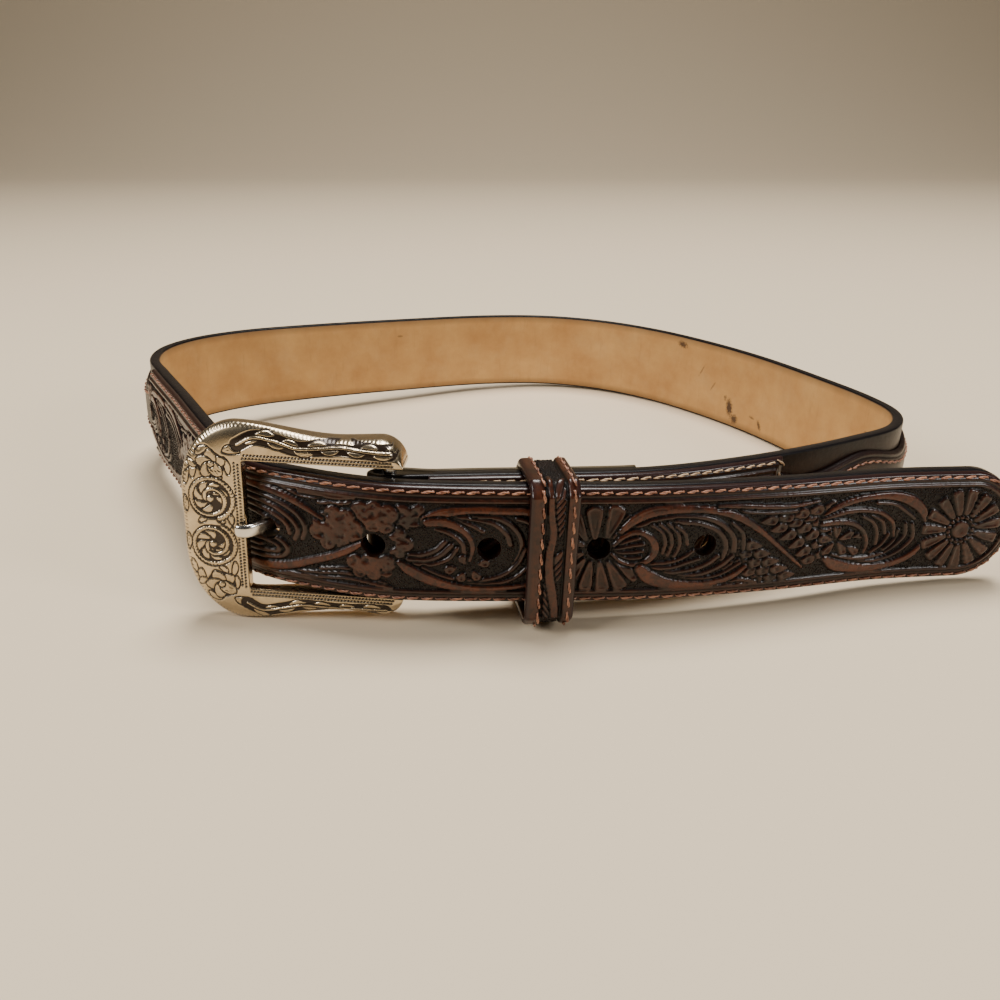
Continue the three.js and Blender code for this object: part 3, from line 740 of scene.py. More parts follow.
RIBS = (
    # half width, then the points as (along, across)
    (0.72, (-8, 8.6), (-1, 8.2), (4, 6.9), (8, 4.6), (9.6, 1.8), (8.8, -0.9)),
    (0.72, (-8, 7.1), (-1, 6.6), (3, 5.3), (6.4, 3.0), (7.6, 0.8), (6.8, -1.4)),
    (0.7, (-8, 5.5), (-2, 5.1), (2, 3.8), (4.8, 1.8), (5.4, -0.2)),
    (0.66, (-8, 4.0), (-3, 3.6), (0, 2.5), (2.6, 0.9)),
    (0.7, (-8, -2.0), (-1, -1.7), (3, -2.6), (4.7, -4.6), (3.4, -6.5), (0, -7.5), (-7, -8.1)),
    (0.62, (-8, -3.4), (-1, -3.2), (2.2, -4.1), (2.4, -5.3), (-1, -6.0), (-8, -6.5)),
    (0.6, (-8, -4.9), (-2, -4.7)),
    (0.6, (7, -9.9), (13, -9.0), (19, -8.1), (24, -8.9), (28, -10)),
    (0.55, (3, -10.9), (12, -10.4), (20, -9.5), (29, -10.8)),
    (0.5, (13, -7.9), (17, -7.0), (20.4, -6.6)),
    (0.55, (3, 10.7), (9, 9.9), (13, 9.9)),
    (0.6, (8, 10.9), (13, 10.8), (18, 10.5), (21, 10.9)),
    (0.55, (13, 8.9), (17, 9.2), (20.6, 9.8)),
    (0.72, (31, -1.5), (35, -1.8), (38.6, -0.5), (40.8, 1.6)),
    (0.7, (32, -2.9), (36.4, -3.1), (40, -1.5), (42.2, 0.9)),
    (0.55, (34, -4.2), (38, -4.1), (41.8, -2.4), (43.6, 0.2)),
    (0.72, (42, 8), (47, 7.6), (51.8, 6.2), (54.6, 3.8), (55.6, 1.2)),
    (0.72, (47, 8.5), (52, 7.9), (56, 5.6), (58, 2.6), (58.2, -0.6), (56.8, -3.8)),
    (0.6, (38.8, 5.0), (42, 3.7), (44.6, 1.4), (45.2, -1.4)),
    (0.6, (36, -5.0), (40, -7.0), (44.6, -8.1), (49, -8.1), (54.2, -6.6), (57.6, -3.5), (59.2, 0)),
    (0.55, (43, -8.9), (50, -9.3), (56, -7.9), (59.8, -4.8)),
    (0.6, (42.6, 6.9), (46.4, 6.0), (49.2, 4.4)),
    (0.6, (57, 7.6), (60, 6.4), (62, 4.2), (63, 1)),
    (0.6, (60, -7.2), (63, -4), (64, 0), (67, 4)),
    (0.5, (79.8, 0.6), (82.6, 1.8), (85.8, 2.7)),
    (0.5, (79.8, -0.2), (83, 0.5), (86.6, 1.0)),
    (0.5, (79.8, -1.1), (82.6, -1.1), (86.4, -0.8)),
    (0.5, (80.4, -2.0), (83.4, -2.6), (86.2, -2.4)),
    (0.75, (84.8, 5.7), (89.4, 7.3), (95, 7.9), (101, 7.1), (105.6, 4.9), (108.6, 1.4), (109.0, -2.4)),
    (0.7, (94, 6.4), (100, 5.6), (105, 3.0), (106.8, -0.4), (106.2, -3.8)),
    (0.6, (107.8, 5.6), (110.8, 2.4), (111.4, -1.4)),
    (0.55, (88.2, 5.8), (90.6, 4.0), (91.6, 1.4), (91.2, -1.4)),
    (0.55, (90.0, 6.0), (92.4, 3.8), (93.2, 0.8), (92.4, -2.0)),
    (0.55, (92.0, 6.0), (94.4, 3.6), (95.1, 0.6), (94.1, -2.4)),
    (0.55, (94.0, 5.4), (96.2, 3.4), (97.0, 0.6)),
    (0.55, (88.8, -4.1), (92.5, -4.0), (96.2, -2.9), (98.6, -1.2)),
    (0.6, (89.4, -5.5), (93.5, -5.4), (97.6, -4.2), (100.4, -3.4)),
    (0.7, (92, -6.9), (98, -6.4), (102.4, -5.0), (105, -3.0)),
    (0.7, (95.6, -8.1), (102, -7.4), (106.2, -5.5), (108.8, -3.2)),
    (0.55, (89.6, -6.5), (94, -8.2), (100, -9.0), (106, -8.1), (111, -5.2)),
    (0.6, (106, -10.6), (111, -9.9), (116, -10.8)),
    (0.6, (110, 8.2), (117, 7.6), (124, 7.6)),
    (0.6, (138, -6.9), (145, -8.1), (151, -7.7), (156, -5.5), (159, -2), (158.2, 1.6)),
    (0.6, (136, -5.4), (143, -6.8), (149.4, -6.4), (154, -4.2), (156.6, -1.0), (156.2, 1.8)),
    (0.6, (145.8, 4.8), (149.2, 2.8), (150.6, -0.4)),
    (0.6, (143.2, 4.6), (146.6, 2.6), (148.2, -0.2), (148.4, -3.2)),
    (0.6, (146.8, 7.9), (152, 7.2), (156.2, 4.8), (158.4, 3.2)),
    (0.55, (147.4, -5.4), (150.2, -3.4), (151.8, -0.8)),
    (0.55, (151, -5.0), (153.4, -2.8), (154.4, 0.2)),
)
RUFFLES = (
    # the lobes of each broad petal as (along, across, radius)
    ((31.4, 8.3, 2.3), (33.9, 7.2, 2.1), (34.8, 9.2, 1.6), (31.6, 5.6, 1.5)),
    ((30.4, 3.2, 1.9), (32.0, 0.9, 2.0), (30.4, -1.7, 1.7)),
    ((21.2, -4.7, 2.0), (24.8, -4.7, 2.5), (28.3, -4.2, 2.1), (22.2, -7.2, 1.6), (25.4, -7.4, 1.7),
     (28.2, -6.8, 1.3)),
    ((22.6, 8.2, 2.3), (25.6, 8.8, 2.1), (28.3, 7.9, 2.4), (25.4, 6.0, 2.7), (23.0, 5.0, 1.7),
     (27.9, 5.0, 1.9)),
    ((12.8, 1.6, 2.2), (13.8, 4.4, 2.4), (16.4, 6.4, 2.3), (19.4, 6.2, 2.1), (17.2, 2.4, 3.4),
     (21.0, 3.6, 2.4),
     (21.6, 1.4, 1.7), (15.0, -0.8, 1.9), (18.6, -0.4, 1.7)),
)
PETALS = (
    # root, turn in degrees, length, half width
    (43.2, -4.9, 200, 1.8, 1.2), (45, -6.3, 250, 1.6, 1.2), (47.4, -5.9, 300, 1.7, 1.2),
    (48.6, -3.8, 10, 1.8, 1.2),
    (45.4, -3.6, 120, 1.6, 1.1),
    (72.8, 2.6, 118, 7.4, 1.9), (79.6, 2.9, 50, 6.2, 1.5), (72.2, 1.0, 158, 6.4, 1.8),
    (72.2, -1.2, -160, 6.4, 1.8),
    (75.0, 3.1, 94, 7.0, 2.1), (78.0, 3.3, 74, 7.2, 2.1), (72.8, -2.8, -122, 7.6, 1.8),
    (74.4, -3.5, -97, 7.3, 1.8), (76.6, -3.7, -80, 7.4, 1.8), (78.6, -3.5, -62, 8.0, 1.8),
    (80.2, -3.0, -42, 7.6, 1.5),
    (136.4, -0.4, 95, 3.2, 1.3), (137.6, -1.0, 20, 3.4, 1.3), (137.2, -2.2, -50, 3.4, 1.3),
    (135.6, -2.2, -130, 3.2, 1.3),
    (135, -1, 170, 3.2, 1.3), (140.4, -3.6, -30, 3.0, 1.2), (141.4, -0.8, 10, 2.8, 1.1),
)
SCALES = (
    # the fern's scales on each side of its stem: first place, step along a row, scales in each row
    ((127.2, -6.6), (3.5, 1.2), 2), ((125.8, -4.4), (3.6, 1.8), 3), ((123.6, -2.0), (3.7, 1.8), 3),
    ((121.0, 0.4), (3.8, 1.6), 4), ((118.2, 2.8), (3.9, 1.2), 4), ((115.4, 5.2), (4.0, 0.6), 5),
    ((126.0, -9.6), (-3.7, -0.1), 5), ((123.6, -7.6), (-3.7, -0.1), 4), ((121.0, -5.4), (-3.7, 0.0), 4),
    ((118.4, -3.2), (-3.7, 0.3), 3), ((115.8, -1.0), (-3.6, 0.5), 2),
)
END_FLOWER = (172.2, -0.4)
END_PETALS = 15
END_EYE = 3.3
END_REACH = 10.8
END_PETAL_HALF = 1.55
REPEAT = 66


def carve_flower(carving, middle, petals, inner, outer, wide):
    """A round flower of narrow petals round a ringed eye."""
    for i in range(petals):
        turn = 360 * (i + 0.4) / petals
        carving.petal(*(middle + inner * toward(turn)), turn, outer - inner, wide, 0.4, 0.22)
    for i in range(petals):
        bead = middle + inner * toward(360 * (i + 0.9) / petals)
        carving.raised([(*bead, 0.62)], 0.5, 0.1, 0.5, 0.25)
    carving.raised([(*middle, inner * 0.74)], 0.7, 0.14, 0.6, 0.35)
    carving.dent(*middle, inner * 0.45, 0.35)


def carve_pattern(carving, shift, start, stop):
    """Carves the stretch of the pattern between two places, moved along by shift."""
    def wanted(points):
        return start <= sum(p[0] for p in points) / len(points) <= stop

    def moved(points, width=None):
        return [(p[0] + shift, p[1], width if width else p[2]) for p in points]

    for (u, v), (du, dv), count in SCALES:
        for i in reversed(range(count)):
            if start <= u <= stop:
                at = (u + i * du + shift, v + i * dv)
                carving.petal(*at, math.degrees(math.atan2(dv, du)), 3.4, 1.5, 0.34, 0.0)
                carving.dent(at[0] + 0.62 * du, at[1] + 0.62 * dv, 0.72, 0.42)
    for width, *points in RIBS:
        if wanted(points):
            carving.band(moved(points, width), 0.32, 0.05, width, 0.26)
    for u, v, turn, long, wide in PETALS:
        if start <= u <= stop:
            carving.petal(u + shift, v, turn, long, wide)
    for i, discs in enumerate(RUFFLES):
        if wanted(discs):
            carving.ruffle(moved(discs), 0.5, i)
    for tint, *points in VINES:
        if wanted(points):
            carving.band(moved(points), tint, 0.16, 0.6, 0.4)
            side = [(p[0] + shift, p[1] + 0.35 * p[2]) for p in points]
            carving.cut(side, 0.14, 0.16)


def crown_of(into, reach, crown, edge, rounding=0.8):
    """A padded face's rise over the base, so far in from its outline: rounded down at the edge."""
    share = np.clip(1 - into / reach, 0, 1)
    rise = edge + (crown - edge) * (1 - share**4)
    short = np.clip(1 - into / rounding, 0, 1)
    return rise - rounding * (1 - np.sqrt(np.clip(1 - short**2, 0, 1)))


def face_columns(count, close=(0.0, 0.04, 0.1, 0.2, 0.34)):
    """Shares across a face from -1 to 1, closer together at its edges."""
    ends = 1 - np.array(close) / 14
    middle = np.linspace(-0.966, 0.966, count)
    return np.concatenate([-ends, middle, ends[::-1]])


def padded_skin(name, s, across, top, marks):
    """A padded layer: its face at the top heights, its sides and its plain back."""
    out = np.pad(top, ((0, 0), (1, 1)), constant_values=BILLET_BASE)
    wide = np.pad(across, ((0, 0), (1, 1)), "edge")
    kept = {}
    for key, value in marks.items():
        kept[key] = np.pad(np.broadcast_to(value, across.shape), ((0, 0), (1, 1)), "edge")
    return skin(name, on_strap(s[:, None], out, MIDDLE + wide), kept)


def carved_billet(name, s, across, into, crown, patterns, origin):
    """A tooled billet, carved with the pattern's stretches."""
    carving = Carving((s - origin)[:, None], across)
    for shift, start, stop in patterns:
        carve_pattern(carving, shift, start, stop)
    if origin == USED_HOLE:
        carve_flower(carving, END_FLOWER, END_PETALS, END_EYE, END_REACH, END_PETAL_HALF)
    carving.border(into)
    rough = np.random.default_rng(7).normal(0, 0.03, carving.u.shape)
    height = carving.height + rough * (0.35 + carving.ground)
    return padded_skin(name, s, across, crown_of(into, billet_reach, crown, BILLET_EDGE) + height, {
        "tint": carving.tint,
        "deep": np.clip(-carving.height / 0.62, 0, 1.3),
        "edge": 1 - ease(into, 0.25, 0.7),
        "ground": carving.ground,
    })


tip_shown = USED_HOLE - SHOWN_BEFORE_HOLE
tip_back = np.arange(TIP_BILLET_START, tip_shown, COARSE_STEP)
tip_s = np.append(tip_back, steps_to_tip(tip_shown, FINE_STEP, BILLET_INSET))
tip_across = face_columns(TIP_COLUMNS)[None, :] * half_height(tip_s, BILLET_INSET)[:, None]
past_round = np.maximum(0, tip_s - (STRAP_END - TIP_ROUND)) * billet_reach / (TIP_ROUND - BILLET_INSET)
tip_into = billet_reach - np.hypot(past_round[:, None], tip_across)
tip_billet = carved_billet(
    "tip_billet_carved", tip_s, tip_across, tip_into, BILLET_CROWN,
    ((-2 * REPEAT, -12, 60), (-REPEAT, 2, 60), (0, -12, 180)), USED_HOLE,
)
cut(tip_billet, punches)
remove(punches)


def paint_tooled():
    """Tooled leather: near black in the cuts, brown on the leaves and orange brown on the vines."""
    material, tree, shader = new_paint("tooled_leather")
    tone = place_grain(tree, shader, 1100.0, 0.8, 0.00009, 0.5)
    blotch = noise(tree, object_place(tree), 420.0, 3.0, 0.6)
    brown = mix(tree, spread(tree, tone, 0.35, 0.7), (0.008, 0.003, 0.002, 1), (0.029, 0.010, 0.005, 1))
    vine = mix(tree, spread(tree, tone, 0.3, 0.7), (0.042, 0.008, 0.004, 1), (0.14, 0.034, 0.011, 1))
    rubbed = figure(tree, "MULTIPLY", mark(tree, "tint"), spread(tree, blotch, 0.38, 0.58, 0.2, 1.15))
    wiped = spread(tree, mark(tree, "deep"), 0.1, 0.62)
    color = mix(tree, rubbed, brown, vine)
    color = mix(tree, wiped, color, (0.004, 0.0025, 0.002, 1))
    color = mix(tree, spread(tree, blotch, 0.5, 0.66, 0.0, 0.75), color, (0.009, 0.004, 0.003, 1))
    feed(tree, shader, {
        "Base Color": mix(tree, mark(tree, "edge"), color, (0.02, 0.007, 0.006, 1)),
        "Roughness": spread(tree, wiped, 0.0, 1.0, 0.32, 0.45),
        "Coat Weight": spread(tree, wiped, 0.0, 1.0, 0.35, 0.05),
        "Specular IOR Level": 0.22,
        "Coat Roughness": 0.1,
    })
    return material


tooled_leather = paint_tooled()
tip_billet.data.materials.append(tooled_leather)
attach(tip_billet, "root")
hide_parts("tip_billet")


SEED_GAP = 0.47
SEED_RADIUS = 0.27
SEEDS_PER_SQUARE_METRE = 5e6


def new_work(name, inputs):
    """A node tree that works on a piece's geometry, with its named inputs."""
    tree = bpy.data.node_groups.new(name, "GeometryNodeTree")
    tree.interface.new_socket("Geometry", in_out="INPUT", socket_type="NodeSocketGeometry")
    for key, kind in inputs:
        tree.interface.new_socket(key, in_out="INPUT", socket_type="NodeSocket" + kind)
    tree.interface.new_socket("Geometry", in_out="OUTPUT", socket_type="NodeSocketGeometry")
    return tree, add_node(tree, "NodeGroupInput"), add_node(tree, "NodeGroupOutput")


def work(piece, tree, **values):
    """Sets a tree to work on a piece with its inputs' values, and keeps what it makes."""
    modifier = piece.modifiers.new(tree.name, "NODES")
    modifier.node_group = tree
    for key, value in values.items():
        modifier[tree.interface.items_tree[key].identifier] = value
    baked(piece)


def repeat(tree, given, made, points, piece, turn, least, most, seed):
    """Repeats a piece at points, turned and a little varied in size, as the solid that a tree makes."""
    limits = {0: least, 1: most, "Seed": seed}
    size = add_node(tree, "FunctionNodeRandomValue", limits, data_type="FLOAT_VECTOR")
    place = add_node(tree, "GeometryNodeInstanceOnPoints", {
        "Points": points, "Instance": piece, "Rotation": turn, "Scale": size.outputs["Value"]})
    solid = add_node(tree, "GeometryNodeRealizeInstances", {"Geometry": place.outputs["Instances"]})
    smooth = add_node(tree, "GeometryNodeSetShadeSmooth", {"Geometry": solid.outputs["Geometry"]})
    finish = add_node(tree, "GeometryNodeSetMaterial", {
        "Geometry": smooth.outputs["Geometry"], "Material": given.outputs["Finish"]})
    feed(tree, made, {"Geometry": finish.outputs["Geometry"]})


def kept_mark(tree, key, kind):
    """A mark kept at a piece's points, as a socket for a tree that works on geometry."""
    node = add_node(tree, "GeometryNodeInputNamedAttribute", {"Name": key}, data_type=kind)
    return node.outputs["Attribute"]


def make_seeding():
    """Small round beads, left by the seed tool, crowded over the beaten ground."""
    inputs = [("Gap", "Float"), ("Radius", "Float"), ("Finish", "Material")]
    tree, given, made = new_work("seeded_ground", inputs)
    scatter = add_node(tree, "GeometryNodeDistributePointsOnFaces", distribute_method="POISSON")
    feed(tree, scatter, {
        "Mesh": given.outputs["Geometry"],
        "Distance Min": given.outputs["Gap"],
        "Density Max": SEEDS_PER_SQUARE_METRE,
        "Density Factor": kept_mark(tree, "ground", "FLOAT"),
        "Seed": 5,
    })
    radius = given.outputs["Radius"]
    bead = add_node(tree, "GeometryNodeMeshIcoSphere", {"Radius": radius, "Subdivisions": 1})
    repeat(tree, given, made, scatter.outputs["Points"], bead.outputs["Mesh"], scatter.outputs["Rotation"],
           (0.8, 0.8, 0.6), (1.15, 1.15, 0.9), 2)
    return tree


seeding = make_seeding()


def paint_seeds():
    """The beads' tops, where the dark finish is half wiped off."""
    material, tree, shader = new_paint("seeded_leather")
    tone = place_grain(tree, shader, 2000.0, 0.5, 0.00005)
    color = mix(tree, spread(tree, tone, 0.35, 0.65), (0.004, 0.002, 0.0015, 1), (0.022, 0.010, 0.006, 1))
    feed(tree, shader, {"Base Color": color, "Roughness": 0.3, "Specular IOR Level": 0.22})
    return material


seeded_leather = paint_seeds()


def seed(carved, name):
    """Beads over the beaten ground of a carved piece, as a piece of their own."""
    beads = in_scene(name, carved.data.copy())
    work(beads, seeding, Gap=SEED_GAP * MM, Radius=SEED_RADIUS * MM, Finish=seeded_leather)
    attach(beads, "root")


seed(tip_billet, "tip_billet_seeding")


STITCH_LENGTH = 3.15
THREAD_THICKNESS = 0.33
STITCH_SLANT = 9
SEAM_STEP = 1.5
TIP_PITCH = 3.4
BACK_PITCH = 3.3
KEEPER_PITCH = 3.8


def thread_stitch(name, long, thick, slant, rings=8):
    """One stitch of two plies twisted together: it rises out of the leather and goes back in."""
    along = np.linspace(-1, 1, rings)
    rise = thick * (1.6 * np.sqrt(1 - along**4) - 0.75)
    ring = np.radians(np.arange(0, 360, 90))
    lean = math.tan(math.radians(slant))
    places, faces = [], []
    for first in (0.4, 0.4 + math.pi):
        start = len(places)
        turn = first + 2.6 * along
        y = (0.5 * np.cos(turn)[:, None] + 0.62 * np.cos(ring)) * thick + lean * along[:, None] * long / 2
        z = rise[:, None] + (0.5 * np.sin(turn)[:, None] + 0.62 * np.sin(ring)) * thick
        x = along[:, None] * long / 2 + 0 * y
        places += (np.stack([x, y, z], -1) * MM).reshape(-1, 3).tolist()
        for i in range(rings - 1):
            low, high = start + 4 * i, start + 4 * i + 4
            faces += [(low + j, high + j, high + (j + 1) % 4, low + (j + 1) % 4) for j in range(4)]
        faces += [tuple(start + j for j in range(4)), tuple(start + 4 * rings - 1 - j for j in range(4))]
    return helper(name, places, faces)


def make_seam():
    """Stitches one after another along a line, each turned along it and standing outward."""
    tree, given, made = new_work("seam", [("Pitch", "Float"), ("Stitch", "Object"), ("Finish", "Material")])
    line = add_node(tree, "GeometryNodeMeshToCurve", {"Mesh": given.outputs["Geometry"]})
    steps = add_node(tree, "GeometryNodeResampleCurve", mode="LENGTH")
    feed(tree, steps, {"Curve": line.outputs["Curve"], "Length": given.outputs["Pitch"]})
    stitch = add_node(tree, "GeometryNodeObjectInfo", {"Object": given.outputs["Stitch"]})
    stand = add_node(tree, "FunctionNodeAlignRotationToVector", axis="Z")
    feed(tree, stand, {"Vector": kept_mark(tree, "outward", "FLOAT_VECTOR")})
    tangent = add_node(tree, "GeometryNodeInputTangent")
    turn = add_node(tree, "FunctionNodeAlignRotationToVector", axis="X", pivot_axis="Z")
    feed(tree, turn, {"Rotation": stand.outputs["Rotation"], "Vector": tangent.outputs["Tangent"]})
    repeat(tree, given, made, steps.outputs["Curve"], stitch.outputs["Geometry"], turn.outputs["Rotation"],
           (0.9, 0.88, 0.85), (1.04, 1.1, 1.12), 3)
    return tree


seam_work = make_seam()


def paint_thread(name, first, second):
    """Waxed thread, with fine fibres and a change of tone along it."""
    material, tree, shader = new_paint(name)
    place = object_place(tree)
    tone = noise(tree, place, 500.0, 3.0)
    roughen(tree, shader, noise(tree, place, 5000.0, 2.0), 0.5, 0.00005)
    feed(tree, shader, {
        "Base Color": mix(tree, spread(tree, tone, 0.35, 0.65), first, second),
        "Roughness": 0.42,
        "Coat Weight": 0.3,
        "Coat Roughness": 0.2,
    })
    return material


def sew(name, rows, pitch, thread):
    """Seams along rows of (places, outward directions), as one piece."""
    counts = [len(places) for places, _ in rows]
    ends = np.cumsum(counts)
    edges = [(i, i + 1) for start, end in zip(ends - counts, ends) for i in range(start, end - 1)]
    mesh = bpy.data.meshes.new(name)
    mesh.from_pydata(np.vstack([places for places, _ in rows]).tolist(), edges, [])
    outward = mesh.attributes.new("outward", "FLOAT_VECTOR", "POINT")
    outward.data.foreach_set("vector", np.vstack([away for _, away in rows]).astype(np.float32).ravel())
    piece = in_scene(name, mesh)
    work(piece, seam_work, Pitch=pitch * MM, Stitch=strap_stitch, Finish=thread)
    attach(piece, "root")


def row_on_strap(s, out, across, tilt=0.45):
    """A row's places on a billet and their outward directions, which tilt towards its edge."""
    places = on_strap(s, out, MIDDLE + across)
    return places, on_strap(s, out + 1, MIDDLE + across + tilt * np.sign(across)) - places


brown_thread = paint_thread("brown_thread", (0.17, 0.06, 0.032, 1), (0.42, 0.20, 0.12, 1))
strap_stitch = thread_stitch("stitch", STITCH_LENGTH, THREAD_THICKNESS, STITCH_SLANT)
seam_run = np.arange(TIP_BILLET_START + 2, STRAP_END - TIP_ROUND, SEAM_STEP)
tip_turn = np.linspace(0, math.pi / 2, 24)
seam_s = np.append(seam_run, STRAP_END - TIP_ROUND + (TIP_ROUND - SEAM_INSET) * np.sin(tip_turn))
seam_across = half_height(seam_s, BILLET_INSET + SEAM_INSET)
seam_out = float(crown_of(np.array(SEAM_INSET), billet_reach, BILLET_CROWN, BILLET_EDGE)) - SEAM_DEPTH
there = row_on_strap(seam_s, seam_out, seam_across)
back = row_on_strap(seam_s[-2::-1], seam_out, -seam_across[-2::-1])
round_tip = tuple(np.vstack(pair) for pair in zip(there, back))
sew("tip_billet_stitches", [round_tip], TIP_PITCH, brown_thread)

# The buckle billet.
# The same carved leather on the buckle end, behind the tip strap. It thins towards the bar, where the
# strap folds, and ends in a square butt against the scalloped overlay.
BUCKLE_BILLET_START = 8.5
BUCKLE_BILLET_END = 100
BILLET_RAMP = 11
BUCKLE_STEP = 0.4
BUCKLE_COLUMNS = 66
BUCKLE_ORIGIN = 4
BUCKLE_SEAM_START = 14.0
buckle_s = np.append(np.arange(BUCKLE_BILLET_START, BUCKLE_BILLET_END, BUCKLE_STEP), BUCKLE_BILLET_END)
buckle_across = face_columns(BUCKLE_COLUMNS)[None, :] * np.full((len(buckle_s), 1), billet_reach)
buckle_into = np.minimum(billet_reach - np.abs(buckle_across), BUCKLE_BILLET_END + 0.1 - buckle_s[:, None])
thickening = ease(buckle_s, BILLET_RAMP - 2.5, BILLET_RAMP + 8.5)
buckle_crown = BILLET_EDGE + (BILLET_CROWN - BILLET_EDGE) * thickening
buckle_billet = carved_billet(
    "buckle_billet_carved", buckle_s, buckle_across, buckle_into, buckle_crown[:, None],
    ((0, -12, 88), (90, -12, 8)), BUCKLE_ORIGIN,
)
buckle_billet.data.materials.append(tooled_leather)
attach(buckle_billet, "root")
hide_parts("buckle_billet")
seed(buckle_billet, "buckle_billet_seeding")

pale_thread = paint_thread("pale_thread", (0.42, 0.27, 0.15, 1), (0.66, 0.48, 0.30, 1))
seam_end = BUCKLE_BILLET_END - SEAM_INSET
seam_high = billet_reach - SEAM_INSET
seam_run = np.arange(BUCKLE_SEAM_START, seam_end, SEAM_STEP)
turn_down = np.linspace(seam_high, -seam_high, 18)
level = np.full(len(seam_run), seam_high)
seam_s = np.concatenate([seam_run, np.full(len(turn_down), seam_end), seam_run[::-1]])
seam_across = np.concatenate([level, turn_down, -level])
sew("buckle_billet_stitches", [row_on_strap(seam_s, seam_out, seam_across)], BACK_PITCH, pale_thread)

# The scalloped overlay.
# Smooth padded leather between the two billets, all round the back. Its two long edges are cut in even
# waves, creased a little inside and sewn down along the waves.
SCALLOP_CROWN = 5.6
SCALLOP_WAVES = 10
SCALLOP_START = 100.6
SCALLOP_END = 528.47
SCALLOP_LEAD = 11.4
CREST_MARGIN = 3.9
TROUGH_MARGIN = 6.9
SCALLOP_CREASE = 1.5
SCALLOP_SEAM = 2.9
CREASE_DEPTH = 0.32


def scallop_half(s):
    """Half the overlay's height at s: low at the troughs and high at the crests."""
    span = SCALLOP_END - SCALLOP_START - 2 * SCALLOP_LEAD
    wave = np.cos(2 * math.pi * SCALLOP_WAVES * (s - SCALLOP_START - SCALLOP_LEAD) / span)
    return MIDDLE - CREST_MARGIN - (TROUGH_MARGIN - CREST_MARGIN) * (1 + wave) / 2


overlay_s = np.linspace(SCALLOP_START, SCALLOP_END, 640)
overlay_half = scallop_half(overlay_s)[:, None]
overlay_columns = np.linspace(-1, 1, 57)
overlay_columns = np.sign(overlay_columns) * (1 - (1 - np.abs(overlay_columns)) ** 1.5)
overlay_across = overlay_columns[None, :] * overlay_half
overlay_into = overlay_half - np.abs(overlay_across)
pressed = swell(overlay_into - SCALLOP_CREASE, 0.34) + 0.5 * swell(overlay_into - SCALLOP_SEAM, 0.5)
overlay_top = crown_of(overlay_into, overlay_half, SCALLOP_CROWN, BILLET_EDGE) - CREASE_DEPTH * pressed
overlay = padded_skin("scalloped_overlay_sewn", overlay_s, overlay_across, overlay_top, {
    "edge": 1 - ease(overlay_into, 0.1, 0.75),
    "deep": pressed,
})


def paint_overlay():
    """Smooth brown leather, darker along its creases and edges."""
    material, tree, shader = new_paint("overlay_leather")
    tone = place_grain(tree, shader, 800.0, 1.0, 0.00012, 0.5)
    color = mix(tree, spread(tree, tone, 0.32, 0.7), (0.012, 0.006, 0.005, 1), (0.035, 0.014, 0.009, 1))
    color = mix(tree, spread(tree, mark(tree, "deep"), 0.2, 0.9, 0.0, 0.8), color, (0.01, 0.006, 0.005, 1))
    feed(tree, shader, {
        "Base Color": mix(tree, mark(tree, "edge"), color, (0.016, 0.009, 0.008, 1)),
        "Roughness": spread(tree, tone, 0.3, 0.7, 0.42, 0.3),
        "Specular IOR Level": 0.18,
        "Coat Weight": 0.08,
        "Coat Roughness": 0.15,
    })
    return material


overlay.data.materials.append(paint_overlay())
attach(overlay, "root")
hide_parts("scalloped_overlay")

seam_s = np.arange(SCALLOP_START + 2, SCALLOP_END - 1, SEAM_STEP)
seam_across = scallop_half(seam_s) - SCALLOP_SEAM
seam_out = crown_of(SCALLOP_SEAM, scallop_half(seam_s), SCALLOP_CROWN, BILLET_EDGE) - CREASE_DEPTH / 2
seam_rows = [row_on_strap(seam_s, seam_out, side * seam_across, 0.3) for side in (1, -1)]
sew("scalloped_overlay_stitches", seam_rows, BACK_PITCH, brown_thread)

# The buckle's bar.
# A round steel bar between the frame's two arms. The strap's fold and the prong's loop turn on it.
OPENING_HEIGHT = 32.7
OPENING_LENGTH = 33.8
FRAME_RISE = 0.9
BAR_RADIUS = 1.5
BAR_ENDS = 0.3


def turned(name, radii, heights, x, y, sides=48):
    """A round piece turned on an upright line through x and y."""
    turn = np.linspace(0, 2 * math.pi, sides, endpoint=False)
    across, deep = (np.asarray(radii)[:, None] * f(turn) for f in (np.cos, np.sin))
    return skin(name, seated(x + across, y + deep, np.asarray(heights)[:, None]), {})


bar_reach = OPENING_HEIGHT / 2 - BAR_ENDS
bar_end = np.array([bar_reach, bar_reach - 0.12, bar_reach - 0.4])
bar_heights = MIDDLE + FRAME_RISE + np.concatenate([-bar_end, [0], bar_end[::-1]])
bar_radii = [1.25, 1.42, BAR_RADIUS, BAR_RADIUS, BAR_RADIUS, 1.42, 1.25]
bar = turned("bar", bar_radii, bar_heights, float(bar_x), float(bar_y))


def make_wear():
    """Metal's fine scratches and cloudy patches from handling."""
    outputs = [("Height", "Float"), ("Cloud", "Float")]
    group, given, made = new_group("handled_metal", [("Scratch", "Float", 900.0)], outputs)
    place = object_place(group)
    feed(group, made, {
        "Height": noise(group, place, given.outputs["Scratch"], 3.0, 0.65),
        "Cloud": noise(group, place, 160.0, 5.0, 0.6),
    })
    return group


wear = make_wear()


def place_wear(tree, shader, scratch, distance):
    """Puts the wear in a material as its bump, and gives its cloud."""
    node = add_node(tree, "ShaderNodeGroup", {"Scratch": scratch}, node_tree=wear)
    roughen(tree, shader, node.outputs["Height"], 0.35, distance)
    return node.outputs["Cloud"]


